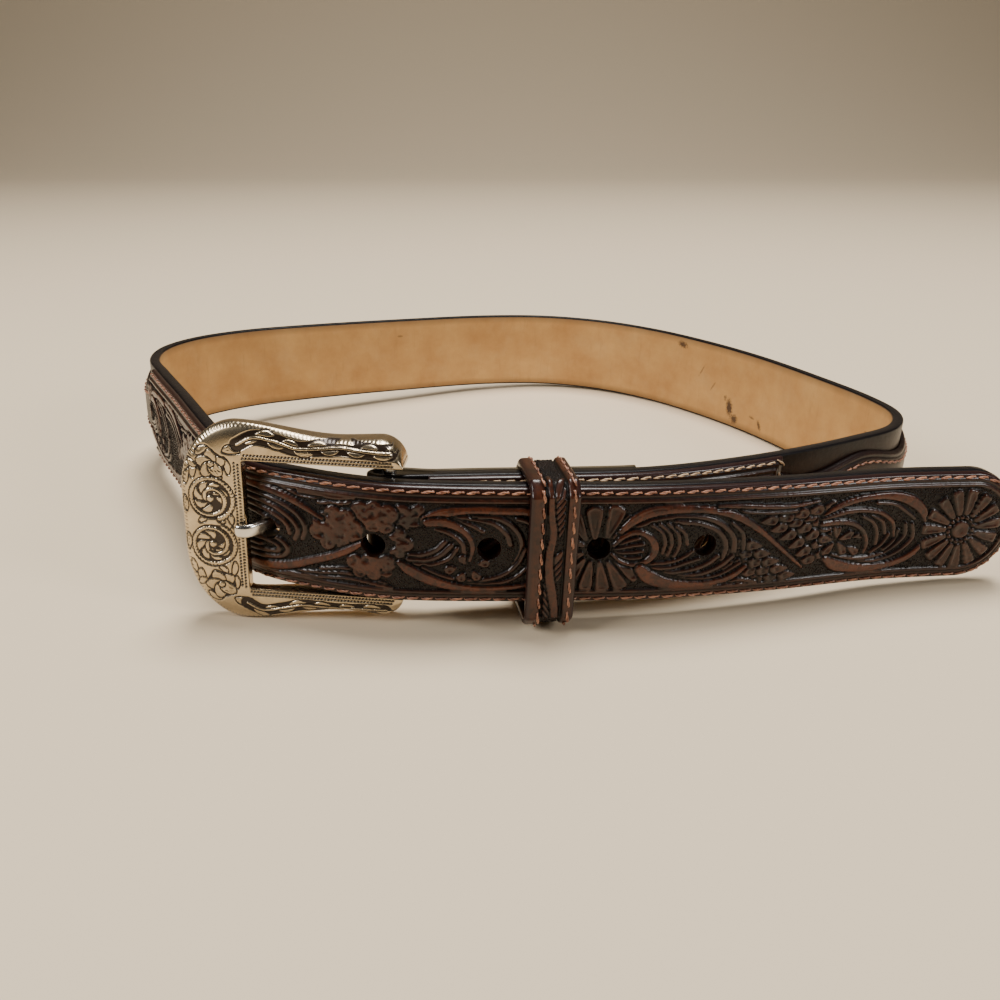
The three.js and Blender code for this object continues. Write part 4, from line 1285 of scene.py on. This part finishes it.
def paint_polished():
    """Polished silver plate, a little clouded."""
    material, tree, shader = new_paint("polished_silver")
    cloud = place_wear(tree, shader, 1500.0, 0.00003)
    feed(tree, shader, {
        "Base Color": mix(tree, spread(tree, cloud, 0.35, 0.7), (0.62, 0.59, 0.54, 1), (0.8, 0.77, 0.72, 1)),
        "Roughness": spread(tree, cloud, 0.35, 0.7, 0.24, 0.12),
        "Metallic": 1.0,
    })
    return material


polished_silver = paint_polished()
bar.data.materials.append(polished_silver)
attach(bar, "root")
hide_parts("buckle_bar")

# The buckle's frame.
# One C-shaped casting in zinc, plated in silver and aged: scrolls, flowers and a row of punched dots are
# cut in its domed face, and a dark finish stays in the cuts.
LEFT_BAR = 15.4
ARM_WAIST = 5.6
ARM_HUMP = 8.8
ARM_OVERHANG = 3.4
ARM_ROUND = 6
ARM_BULB = 0.65
WAIST_SHARE = 0.35
HUMP_SHARE = 1.05
CORNER_SHARE = 0.42
DEPTH_SHARE = 0.2
INNER_DEPTH = 3
RIM_DEPTH = 4.6
ARM_DEPTH = 7.8
FRAME_TURN = 4
FRAME_LEAD = 5.8
BAR_X = -28.556
OPENING_ROUND = 1.5
FRAME_HALF = OPENING_HEIGHT / 2 + ARM_HUMP


def from_frame(p, q, w):
    """Places p along the strap from the bar, q deep from the frame's face and w up from its middle."""
    turn = math.radians(FRAME_TURN)
    x = BAR_X + p * math.cos(turn) + q * math.sin(turn)
    y = -FRAME_LEAD - p * math.sin(turn) + q * math.cos(turn)
    return seated(x, y, MIDDLE + FRAME_RISE + w)


def arm_edge(p):
    """Half the height of the arms' outer edge at p: a bulb at the bar, a waist, and a hump at the corner."""
    waist = OPENING_HEIGHT / 2 + ARM_WAIST
    rise = ease(-p, OPENING_LENGTH * WAIST_SHARE, OPENING_LENGTH * HUMP_SHARE)
    edge = waist + ARM_BULB * (1 - ease(-p, 0, OPENING_LENGTH * WAIST_SHARE)) + (FRAME_HALF - waist) * rise
    end = np.clip((p - ARM_OVERHANG + ARM_ROUND) / ARM_ROUND, 0, 0.985)
    return OPENING_HEIGHT / 2 + (edge - OPENING_HEIGHT / 2) * np.sqrt(1 - end**2)


def frame_ribs(step):
    """Inner and outer edge points round the C, from the upper arm's end to the middle of the left bar."""
    inner = OPENING_HEIGHT / 2
    corner_p, corner_w = -OPENING_LENGTH * HUMP_SHARE, inner * CORNER_SHARE
    outer_left = -OPENING_LENGTH - LEFT_BAR
    round_end = ARM_OVERHANG - ARM_ROUND * (1 - np.cos(np.linspace(0, math.pi / 2, 26)))
    arm_end = OPENING_ROUND - OPENING_LENGTH
    arm = np.concatenate([round_end, np.arange(ARM_OVERHANG - ARM_ROUND - step, arm_end, -step)])
    join = np.linspace(0, 1, 12)[1:-1]
    bend = join * math.pi / 2
    angle = np.linspace(0, math.pi / 2, int(24 / step))
    low = np.arange(corner_w - step, 0, -step)
    inner_edge = np.vstack([
        np.stack([arm, np.full_like(arm, inner)], 1),
        np.stack([arm_end - OPENING_ROUND * np.sin(bend), inner - 0.5 * (1 - np.cos(bend))], 1),
        np.stack([np.full_like(angle, -OPENING_LENGTH),
                  inner - 0.5 + (corner_w - inner + 0.5) * angle / (math.pi / 2)], 1),
        np.stack([np.full_like(low, -OPENING_LENGTH), low], 1),
    ])
    join_p = arm_end + (corner_p - arm_end) * join
    outer_edge = np.vstack([
        np.stack([arm, arm_edge(arm)], 1),
        np.stack([join_p, arm_edge(join_p)], 1),
        np.stack([corner_p + (outer_left - corner_p) * np.sin(angle),
                  corner_w + (FRAME_HALF - corner_w) * np.cos(angle)], 1),
        np.stack([np.full_like(low, outer_left), low], 1),
    ])
    return tuple(np.vstack([edge, edge[::-1] * (1, -1)]) for edge in (inner_edge, outer_edge))


class Engraving(Carving):
    """The cuts in the buckle's face, over (p, w)."""

    def __init__(self, u, v):
        self.u, self.v = u, v
        self.height = np.zeros(u.shape)

    def sink(self, discs):
        """Cuts the ground away within (p, w, radius) discs, so that what is drawn on it later stands out."""
        at, off, _, _ = self.near(np.asarray(discs, float), 0.1)
        if len(off):
            self.height[at] = np.minimum(self.height[at], -0.3 * ease(-off, 0.0, 0.3))

    def drawn(self, line, vein):
        """Leaves a smooth shape standing along (p, w, half width) points, with a cut round it."""
        at, off, gap, _ = self.near(line, 0.9)
        if not len(off):
            return
        puff = 0.14 * np.sqrt(np.clip(-off / 0.45, 0, 1)) - vein * swell(gap, 0.14)
        outline = -0.34 * swell(off - 0.13, 0.19)
        self.height[at] = np.where(off < 0, puff, np.minimum(self.height[at], outline))

    def leaf(self, p, w, turn, long, wide, bend=0.0):
        """A leaf that may curl to one side."""
        turns = np.radians(turn + bend * np.array([0.0, 0.0, 0.5, 1.0]))
        steps = np.array([0.0, 0.3, 0.35, 0.35]) * long
        ps, ws = p + np.cumsum(steps * np.cos(turns)), w + np.cumsum(steps * np.sin(turns))
        self.drawn(smooth_line(list(zip(ps, ws, wide * np.array([0.35, 0.95, 0.9, 0.2]))), 8), 0.18)

    def scroll(self, p, w, radius, turn, hand):
        """A rolled leaf: a stem that winds inward, with curled leaves on the sunk ground inside it."""
        self.sink([(p, w, radius)])
        for i in range(7):
            at = turn + hand * (40 + 44 * i)
            root = (p, w) + (radius - 1.3) * toward(at)
            self.leaf(*root, at + hand * 128, 3.3, 0.72, hand * 62)
        angle = np.radians(turn + hand * np.linspace(0, 640, 70))
        reach = radius * (1 - 0.86 * np.linspace(0, 1, 70) ** 2.1)
        wide = 0.5 - 0.16 * np.linspace(0, 1, 70)
        self.drawn(np.stack([p + reach * np.cos(angle), w + reach * np.sin(angle), wide], 1), 0.0)
        self.drawn(np.array([(p, w, 0.75)]), 0.2)

    def blossom(self, p, w, radius, turn=18):
        """Five round petals, each with short cut lines, round a ringed eye."""
        self.sink([(p, w, radius * 1.02)])
        for i in range(5):
            at = turn + 72 * i
            self.leaf(p, w, at, radius, 0.4 * radius)
            for side in (-16, 16):
                ray = [(p, w) + share * radius * toward(at + side) for share in (0.35, 0.6, 0.85)]
                self.cut(ray, 0.2, 0.15)
        self.drawn(np.array([(p, w, 0.2 * radius)]), 0.3)

    def leafy_vine(self, points, pitch, long, wide):
        """A stem along (p, w) points on a sunk ground, with curled leaves on both its sides."""
        line = smooth_line([(*q, 0.3) for q in points], 10)
        self.sink(line + (0, 0, 1.5))
        far = np.append(0, np.cumsum(np.hypot(*np.diff(line[:, :2], axis=0).T)))
        for i, at in enumerate(np.arange(pitch / 2, far[-1] - 1, pitch)):
            k = min(np.searchsorted(far, at), len(line) - 2)
            ahead = math.degrees(math.atan2(*(line[k + 1] - line[k])[1::-1]))
            side = 1 if i % 2 else -1
            self.leaf(*line[k, :2], ahead + side * 27, long, wide, -side * 40)
        self.drawn(line, 0.0)


SCROLLS = ((-41.7, 6.6, 5.3, -70, 1), (-41.9, -5.0, 5.3, 60, -1))
BLOSSOMS = ((-41.0, 15.2, 3.3, 20), (-40.6, -15.6, 3.6, 40))
LEAVES = (
    # p, w, turn in degrees, length, half width, curl
    (-37.6, 18.6, 20, 3.6, 0.95, -40), (-37.0, 13.2, 92, 3.8, 0.6, 20), (-45.6, 12.0, 96, 3.4, 0.8, -50),
    (-44.2, 17.6, 40, 3.4, 0.9, -40), (-47.6, 10.2, 84, 3.4, 0.6, -20), (-47.9, 3.2, 92, 3.6, 0.6, 0),
    (-36.9, 0.6, 96, 3.0, 0.6, 30), (-36.9, -0.6, 264, 3.0, 0.6, -30), (-38.8, 0.9, 150, 2.2, 0.6, -40),
    (-44.6, 0.9, 30, 2.4, 0.6, 40), (-47.9, -3.0, 268, 3.6, 0.6, 0), (-47.4, -9.8, 276, 3.4, 0.65, 20),
    (-36.9, -9.6, 268, 3.6, 0.6, -20), (-45.4, -12.0, 262, 3.4, 0.85, 50), (-43.8, -18.2, 320, 3.4, 0.9, 40),
    (-37.2, -19.4, -20, 3.8, 0.95, 40), (-36.8, -13.4, 270, 3.0, 0.6, 0), (-40.4, 11.2, 20, 2.4, 0.6, 60),
    (-40.6, -11.0, -20, 2.4, 0.6, -60), (-44.4, -14.6, 200, 2.4, 0.7, 40), (-44.8, 14.6, 160, 2.4, 0.7, -40),
)
ARM_VINES = (
    # along the upper arm, then along the lower one
    ((-34.6, 20.2), (-31, 22.0), (-26, 21.4), (-21, 20.0), (-16, 20.2), (-11, 20.6), (-6, 20.2),
     (-2, 20.0), (0.6, 20.0)),
    ((-34.6, -20.2), (-31, -22.0), (-26, -21.2), (-21, -20.0), (-16, -20.2), (-11, -20.4), (-6, -20.1),
     (-1, -20.0)),
)
DOT_PITCH = 0.8
VINE_PITCH = 3.0
VINE_LEAF_LENGTH = 4.6
VINE_LEAF_HALF = 0.66

rib_inner, rib_outer = frame_ribs(0.23)
rib_share = np.concatenate([[0.02, 0.045], np.linspace(0.07, 0.93, 78), [0.948, 0.965, 0.98, 0.99, 0.997]])
rib_share = rib_share[None, :]
rib_p, rib_w = (rib_inner[:, i, None] + (rib_outer - rib_inner)[:, i, None] * rib_share for i in (0, 1))
rib_wide = np.hypot(*(rib_outer - rib_inner).T)[:, None]
full_depth = ease(rib_inner[:, 0], -OPENING_LENGTH, -OPENING_LENGTH * DEPTH_SHARE)[:, None]
inner_deep = INNER_DEPTH + (ARM_DEPTH - INNER_DEPTH) * full_depth
outer_deep = RIM_DEPTH + (ARM_DEPTH - RIM_DEPTH) * full_depth
flat_share = 0.34 + 0.26 * ease(-rib_inner[:, 0], 24, 34) * (1 - ease(np.abs(rib_inner[:, 1]), 9, 16))
flat_share = np.minimum(flat_share, 0.6)[:, None]
roll = np.clip((rib_share - flat_share) / (1 - flat_share), 0, 1)
rolled = 1 - np.sqrt(1 - np.minimum(roll, 0.999) ** 2)
face_deep = 0.52 * (inner_deep + (outer_deep - inner_deep) * rib_share) * rolled
from_lip = np.clip(rib_share * rib_wide / 0.5, 0, 1)
face_deep = face_deep + 0.4 * (1 - np.sqrt(1 - (1 - from_lip) ** 2))

engraving = Engraving(rib_p, rib_w)
for part in LEAVES:
    engraving.leaf(*part)
for vine in ARM_VINES:
    engraving.leafy_vine(vine, VINE_PITCH, VINE_LEAF_LENGTH, VINE_LEAF_HALF)
for part in SCROLLS:
    engraving.scroll(*part)
for part in BLOSSOMS:
    engraving.blossom(*part)
for side in (1, -1):
    for row, w in enumerate((17.05, 17.85)):
        for p in np.arange(-33.4 + DOT_PITCH / 2 * row, 1.4, DOT_PITCH):
            engraving.dent(p, side * w, 0.25, 0.4)
for row, p in enumerate((-34.65, -35.5)):
    for w in np.arange(-15.8 + DOT_PITCH / 2 * row, 16, DOT_PITCH):
        engraving.dent(p, w, 0.25, 0.4)
for i in range(0, len(rib_inner), 4):
    ends = [rib_inner[i] + (rib_outer[i] - rib_inner[i]) * share for share in (0.915, 0.99)]
    engraving.cut([ends[0], sum(ends) / 2, ends[1]], 0.16, 0.16)
cuts = -engraving.height

plain_back = np.array([0.97, 0.5, 0.03])[None, :] + 0 * rib_wide
back_deep = inner_deep + (outer_deep - inner_deep) * plain_back
rim_steps = np.array([0.62, 0.8, 0.94])[None, :]
lip_steps = np.array([0.94, 0.6, 0.22])[None, :]
rim_out = 1 + 0 * (rim_steps + rib_wide)
rib_out = np.hstack([rib_share + 0 * rib_wide, rim_out, plain_back, 0 * (lip_steps + rib_wide)])
rib_deep = np.hstack([face_deep + cuts, rim_steps * outer_deep, back_deep, lip_steps * inner_deep])
out_p, out_w = (rib_inner[:, i, None] + (rib_outer - rib_inner)[:, i, None] * rib_out for i in (0, 1))
frame_places = from_frame(out_p, rib_deep, out_w)
plain_columns = rib_out.shape[1] - rib_share.shape[1]
buckle_frame = skin("buckle_frame_engraved", frame_places, {
    "dark": np.pad(np.clip(cuts / 0.2, 0, 1), ((0, 0), (0, plain_columns))),
})


def paint_aged_silver_warm_reflection():
    """Aged silver plate, tinted warm as a painted reflection of the floor, soft on the face, with the dark
    finish left in the cuts.
    """
    material, tree, shader = new_paint("antique_silver")
    cloud = place_wear(tree, shader, 1300.0, 0.00004)
    # The plate's colour is aged silver with a painted warm reflection of the floor mixed into it.
    plate_and_warm_reflection = mix(tree, spread(tree, cloud, 0.3, 0.7), (0.42, 0.33, 0.21, 1), (0.66, 0.54, 0.37, 1))
    dark = spread(tree, mark(tree, "dark"), 0.25, 0.9)
    feed(tree, shader, {
        "Base Color": mix(tree, dark, plate_and_warm_reflection, (0.03, 0.019, 0.012, 1)),
        "Metallic": spread(tree, dark, 0.0, 1.0, 1.0, 0.35),
        "Roughness": spread(tree, cloud, 0.3, 0.7, 0.3, 0.2),
    })
    return material


buckle_frame.data.materials.append(paint_aged_silver_warm_reflection())
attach(buckle_frame, "root")
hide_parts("buckle_frame")

# The prong.
# A tongue of polished steel. It is rolled round the bar, passes behind the tip strap, comes out through
# the hole in use and rests on the frame's left bar.
PRONG_WIDTH = 3.6
PRONG_THICKNESS = 1.9
PRONG_OVERLAP = 3.2
CLEARANCE = 0.3
ROLL_THICKNESS = 1.5

half_thick = PRONG_THICKNESS / 2
turn = math.radians(FRAME_TURN)


def on_frame_plan(p, q):
    """The frame's place (p, q) seen from above the level loop."""
    x = BAR_X + p * math.cos(turn) + q * math.sin(turn)
    return (x, -FRAME_LEAD - p * math.sin(turn) + q * math.cos(turn))


def by_strap(s, out, along=0.0):
    """A place by the strap at s, seen from above."""
    x, y, nx, ny = (float(v) for v in station(s))
    return (x + nx * out - ny * along, y + ny * out + nx * along)


prong_rest = on_frame_plan(-OPENING_LENGTH - PRONG_OVERLAP + half_thick, -CLEARANCE - half_thick)
shank = smooth_line([
    (float(bar_x) + half_thick, float(bar_y) + FOLD_RADIUS),
    (float(bar_x) - 2 * BAR_RADIUS, float(bar_y) + FOLD_RADIUS),
    by_strap(USED_HOLE + 0.3 * HOLE_PITCH, -CLEARANCE - half_thick),
    by_strap(USED_HOLE, -half_thick, half_thick),
    by_strap(USED_HOLE, (STRAP_STACK - CLEARANCE) / 2),
    on_frame_plan(-OPENING_LENGTH + half_thick, -CLEARANCE - half_thick),
    prong_rest,
], 12)
around = np.radians(np.linspace(-184, 84, 40))
wrap = np.stack([bar_x + FOLD_RADIUS * np.cos(around), bar_y + FOLD_RADIUS * np.sin(around)], 1)
prong_line = np.vstack([wrap, shank[3:]])
prong_run = np.append(0, np.cumsum(np.hypot(*np.diff(prong_line, axis=0).T)))
toward_tip = np.gradient(prong_line, prong_run, axis=0)
toward_tip /= np.hypot(*toward_tip.T)[:, None]
left = prong_run[-1] - prong_run
tip = np.sqrt(np.clip(1 - (1 - np.clip(left / 1.3, 0, 1)) ** 2, 0.04, 1))
thick = (ROLL_THICKNESS + (PRONG_THICKNESS - ROLL_THICKNESS) * ease(prong_run, 11.5, 15.5)) / 2 * tip
wide = PRONG_WIDTH / 2 * (1 - 0.12 * ease(-left, -16, 0)) * tip
ring_turn = np.linspace(0, 2 * math.pi, 28, endpoint=False)
bulge = np.sign(np.cos(ring_turn)) * np.abs(np.cos(ring_turn)) ** 0.62
rise = np.sign(np.sin(ring_turn)) * np.abs(np.sin(ring_turn)) ** 0.72
outward = thick[:, None] * bulge
upward = wide[:, None] * rise
prong = skin("prong_polished", seated(
    prong_line[:, 0, None] + toward_tip[:, 1, None] * outward,
    prong_line[:, 1, None] - toward_tip[:, 0, None] * outward, MIDDLE + PRONG_RISE + upward), {})
prong.data.materials.append(polished_silver)
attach(prong, "root")
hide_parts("prong")

# The keeper.
# A loop of the same carved leather, 11.6 mm wide, round the tip strap, the buckle end and the flap. Its
# two edges are left smooth as borders, each sewn with one row of stitches.
KEEPER_WIDTH = 11.6
KEEPER_FROM_BAR = 36.1
KEEPER_WALL = 1.9
KEEPER_ROUND = 3.3
KEEPER_EASE = 0.5
KEEPER_SAG = 3
CORNER_CUT = 0.75

keeper_x, keeper_y, keeper_nx, keeper_ny = (float(v) for v in station(KEEPER_FROM_BAR))


def keeper_depth(s, out):
    """The least and greatest depth at the keeper of the strap's stretch at s, out from its inner face."""
    x, y, nx, ny = station(s)
    x, y = x + nx * out - keeper_x, y + ny * out - keeper_y
    at = np.abs(x * -keeper_ny + y * keeper_nx) < KEEPER_WIDTH / 2 + 2
    depth = (x * keeper_nx + y * keeper_ny)[at]
    return depth.min(), depth.max()


keeper_back = keeper_depth(np.arange(0, 2 * KEEPER_FROM_BAR, 1.0), -CLEARANCE - 1.5)[0] - CLEARANCE
keeper_front = keeper_depth(np.arange(USED_HOLE, STRAP_END, 1.0), STRAP_STACK - CLEARANCE)[1] + CLEARANCE


def rounded_loop(x0, y0, x1, y1, radius, bend_steps, step):
    """Points round a rectangle with rounded corners and their outward directions, from its front's foot."""
    points, outward = [], []
    left, right, low, high = x0 + radius, x1 - radius, y0 + radius, y1 - radius
    corners = ((right, high, 0), (left, high, 90), (left, low, 180), (right, low, 270))
    last = (x1, low)
    for x, y, first in corners:
        turn = np.radians(first + np.linspace(0, 90, bend_steps))
        out = np.stack([np.cos(turn), np.sin(turn)], 1)
        arc = np.array([x, y]) + radius * out
        count = max(2, int(np.hypot(*(arc[0] - last)) / step))
        side = np.linspace(last, arc[0], count, endpoint=False)
        points += [side, arc[:-1]]
        outward += [np.repeat(out[:1], count, 0), out[:-1]]
        last = arc[-1]
    return np.vstack(points), np.vstack(outward)


inner_round = KEEPER_ROUND - KEEPER_WALL
keeper_inside = (keeper_back, -KEEPER_SAG, keeper_front, STRAP_WIDTH + KEEPER_EASE)
loop_points, loop_outward = rounded_loop(*keeper_inside, inner_round, 14, 0.2)
loop_run = np.append(0, np.cumsum(np.hypot(*np.diff(loop_points, axis=0).T)))
keeper_edge = np.array([1, 0.99, 0.965, 0.93])
keeper_columns = np.concatenate([-keeper_edge, np.linspace(-0.9, 0.9, 45), keeper_edge[::-1]])
keeper_half = KEEPER_WIDTH / 2
keeper_across = keeper_half * keeper_columns
front_run = loop_run[:, None] - (STRAP_WIDTH + KEEPER_SAG + KEEPER_EASE) / 2 + inner_round
keeper_carving = Carving(front_run, keeper_across[None, :])

KEEPER_LEFT = -2.1
KEEPER_RIGHT = 2.5
KEEPER_SEAMS = (KEEPER_LEFT - 0.75, KEEPER_RIGHT + 1.75)
KEEPER_STEM = (
    (-19, 1.2, 0.7), (-14, 1.1, 0.95), (-9, 0.3, 1.1), (-4, -0.7, 1.1),
    (1, -0.9, 1.0), (6, -0.2, 0.9), (11, -0.9, 0.8), (19, -1.3, 0.6),
)
KEEPER_FRONDS = (
    # the fronds beside the stem, as (up, across) at the root and at the end
    *((u, -0.3, u + 3.6, 1.9) for u in (4.0, 5.7, 7.4, 9.1, 10.8, 12.5, 14.2)),
    *((u, 0.2, u + 3.2, -1.7) for u in (-18.2, -16.5, -14.8, -13.1, -11.4, -9.7)),
    *((u, 0.0, u + 3.4, 2.1) for u in (-6.9, -5.2, -3.5, -1.8)),
)
for up, side, far_up, far_side in KEEPER_FRONDS:
    middle = ((up + far_up) / 2 + 0.5, 0.5 * (side + far_side) + 0.1)
    keeper_carving.band([(up, side, 0.35), (*middle, 0.78), (far_up, far_side, 0.5)], 0.4, 0.08, 0.6, 0.24)
keeper_carving.band(KEEPER_STEM, 0.6, 0.12, 0.6, 0.3)
keeper_side = np.minimum(keeper_across - KEEPER_LEFT, KEEPER_RIGHT - keeper_across)[None, :]
keeper_field = ease(keeper_side, -0.1, 0.3)
keeper_carving.ground *= keeper_field > 0.9
left_share = np.clip((keeper_across + keeper_half) / (KEEPER_LEFT + keeper_half), 0, 1)
right_share = np.clip((keeper_half - keeper_across) / (keeper_half - KEEPER_RIGHT), 0, 1)
dome = np.where(keeper_across < 0, left_share, right_share)[None, :]
seam_channel = sum(swell(keeper_across - place, 0.4) for place in KEEPER_SEAMS)
borders = 0.2 - 0.62 * (2 * dome - 1) ** 4 - 0.2 * seam_channel[None, :]
crease = 0.75 * swell(keeper_side + 0.15, 0.3)
relief = keeper_carving.height * keeper_field + borders * (1 - keeper_field) - crease
round_off = np.clip(1 - (1 - np.abs(keeper_columns)) * keeper_half / 0.55, 0, 1)[None, :]
corner = 2 * np.abs(loop_outward[:, 0] * loop_outward[:, 1])[:, None]
outer = KEEPER_WALL + 0.8 * relief - 0.35 * (1 - np.sqrt(1 - round_off**2)) - CORNER_CUT * corner
keeper_out = np.hstack([outer, np.broadcast_to([[0.25, 0.0, 0.0, 0.0, 0.25]], (len(outer), 5))])
keeper_wide = np.append(keeper_across, [keeper_half, keeper_half - 0.3, 0, 0.3 - keeper_half, -keeper_half])


def round_keeper(out, wide):
    """Places round the keeper's loop, out from its inner side and wide across it."""
    depth, up = (loop_points[:, i, None] + loop_outward[:, i, None] * out for i in (0, 1))
    x = keeper_x + keeper_nx * depth - keeper_ny * wide
    y = keeper_y + keeper_ny * depth + keeper_nx * wide
    return seated(x, y, up)


keeper_places = round_keeper(keeper_out, keeper_wide)
keeper_rim = 0.9 * np.clip(1.5 - (keeper_half - np.abs(keeper_across)) / 0.9, 0, 1)
kept = {
    "tint": keeper_carving.tint * keeper_field + 0.45 * (1 - keeper_field),
    "deep": np.clip(-relief / 0.62, 0, 1.3),
    "edge": np.broadcast_to(keeper_rim, outer.shape),
    "ground": keeper_carving.ground,
}
keeper_places = np.concatenate([keeper_places, keeper_places[:1]])
keeper = skin("keeper_carved", keeper_places, {
    key: np.pad(np.vstack([value, value[:1]]), ((0, 0), (0, 5))) for key, value in kept.items()}, caps=False)
joined = bmesh.new()
joined.from_mesh(keeper.data)
bmesh.ops.remove_doubles(joined, verts=joined.verts, dist=1e-7)
joined.to_mesh(keeper.data)
joined.free()
keeper.data.materials.append(tooled_leather)
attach(keeper, "root")
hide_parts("keeper")
seed(keeper, "keeper_seeding")

rows = []
for wide in KEEPER_SEAMS:
    low, high = (round_keeper(KEEPER_WALL + out - CORNER_CUT * corner, wide)[:, 0] for out in (-0.1, 0.9))
    rows.append((low, high - low))
sew("keeper_stitches", rows, KEEPER_PITCH, brown_thread)
remove([strap_stitch])
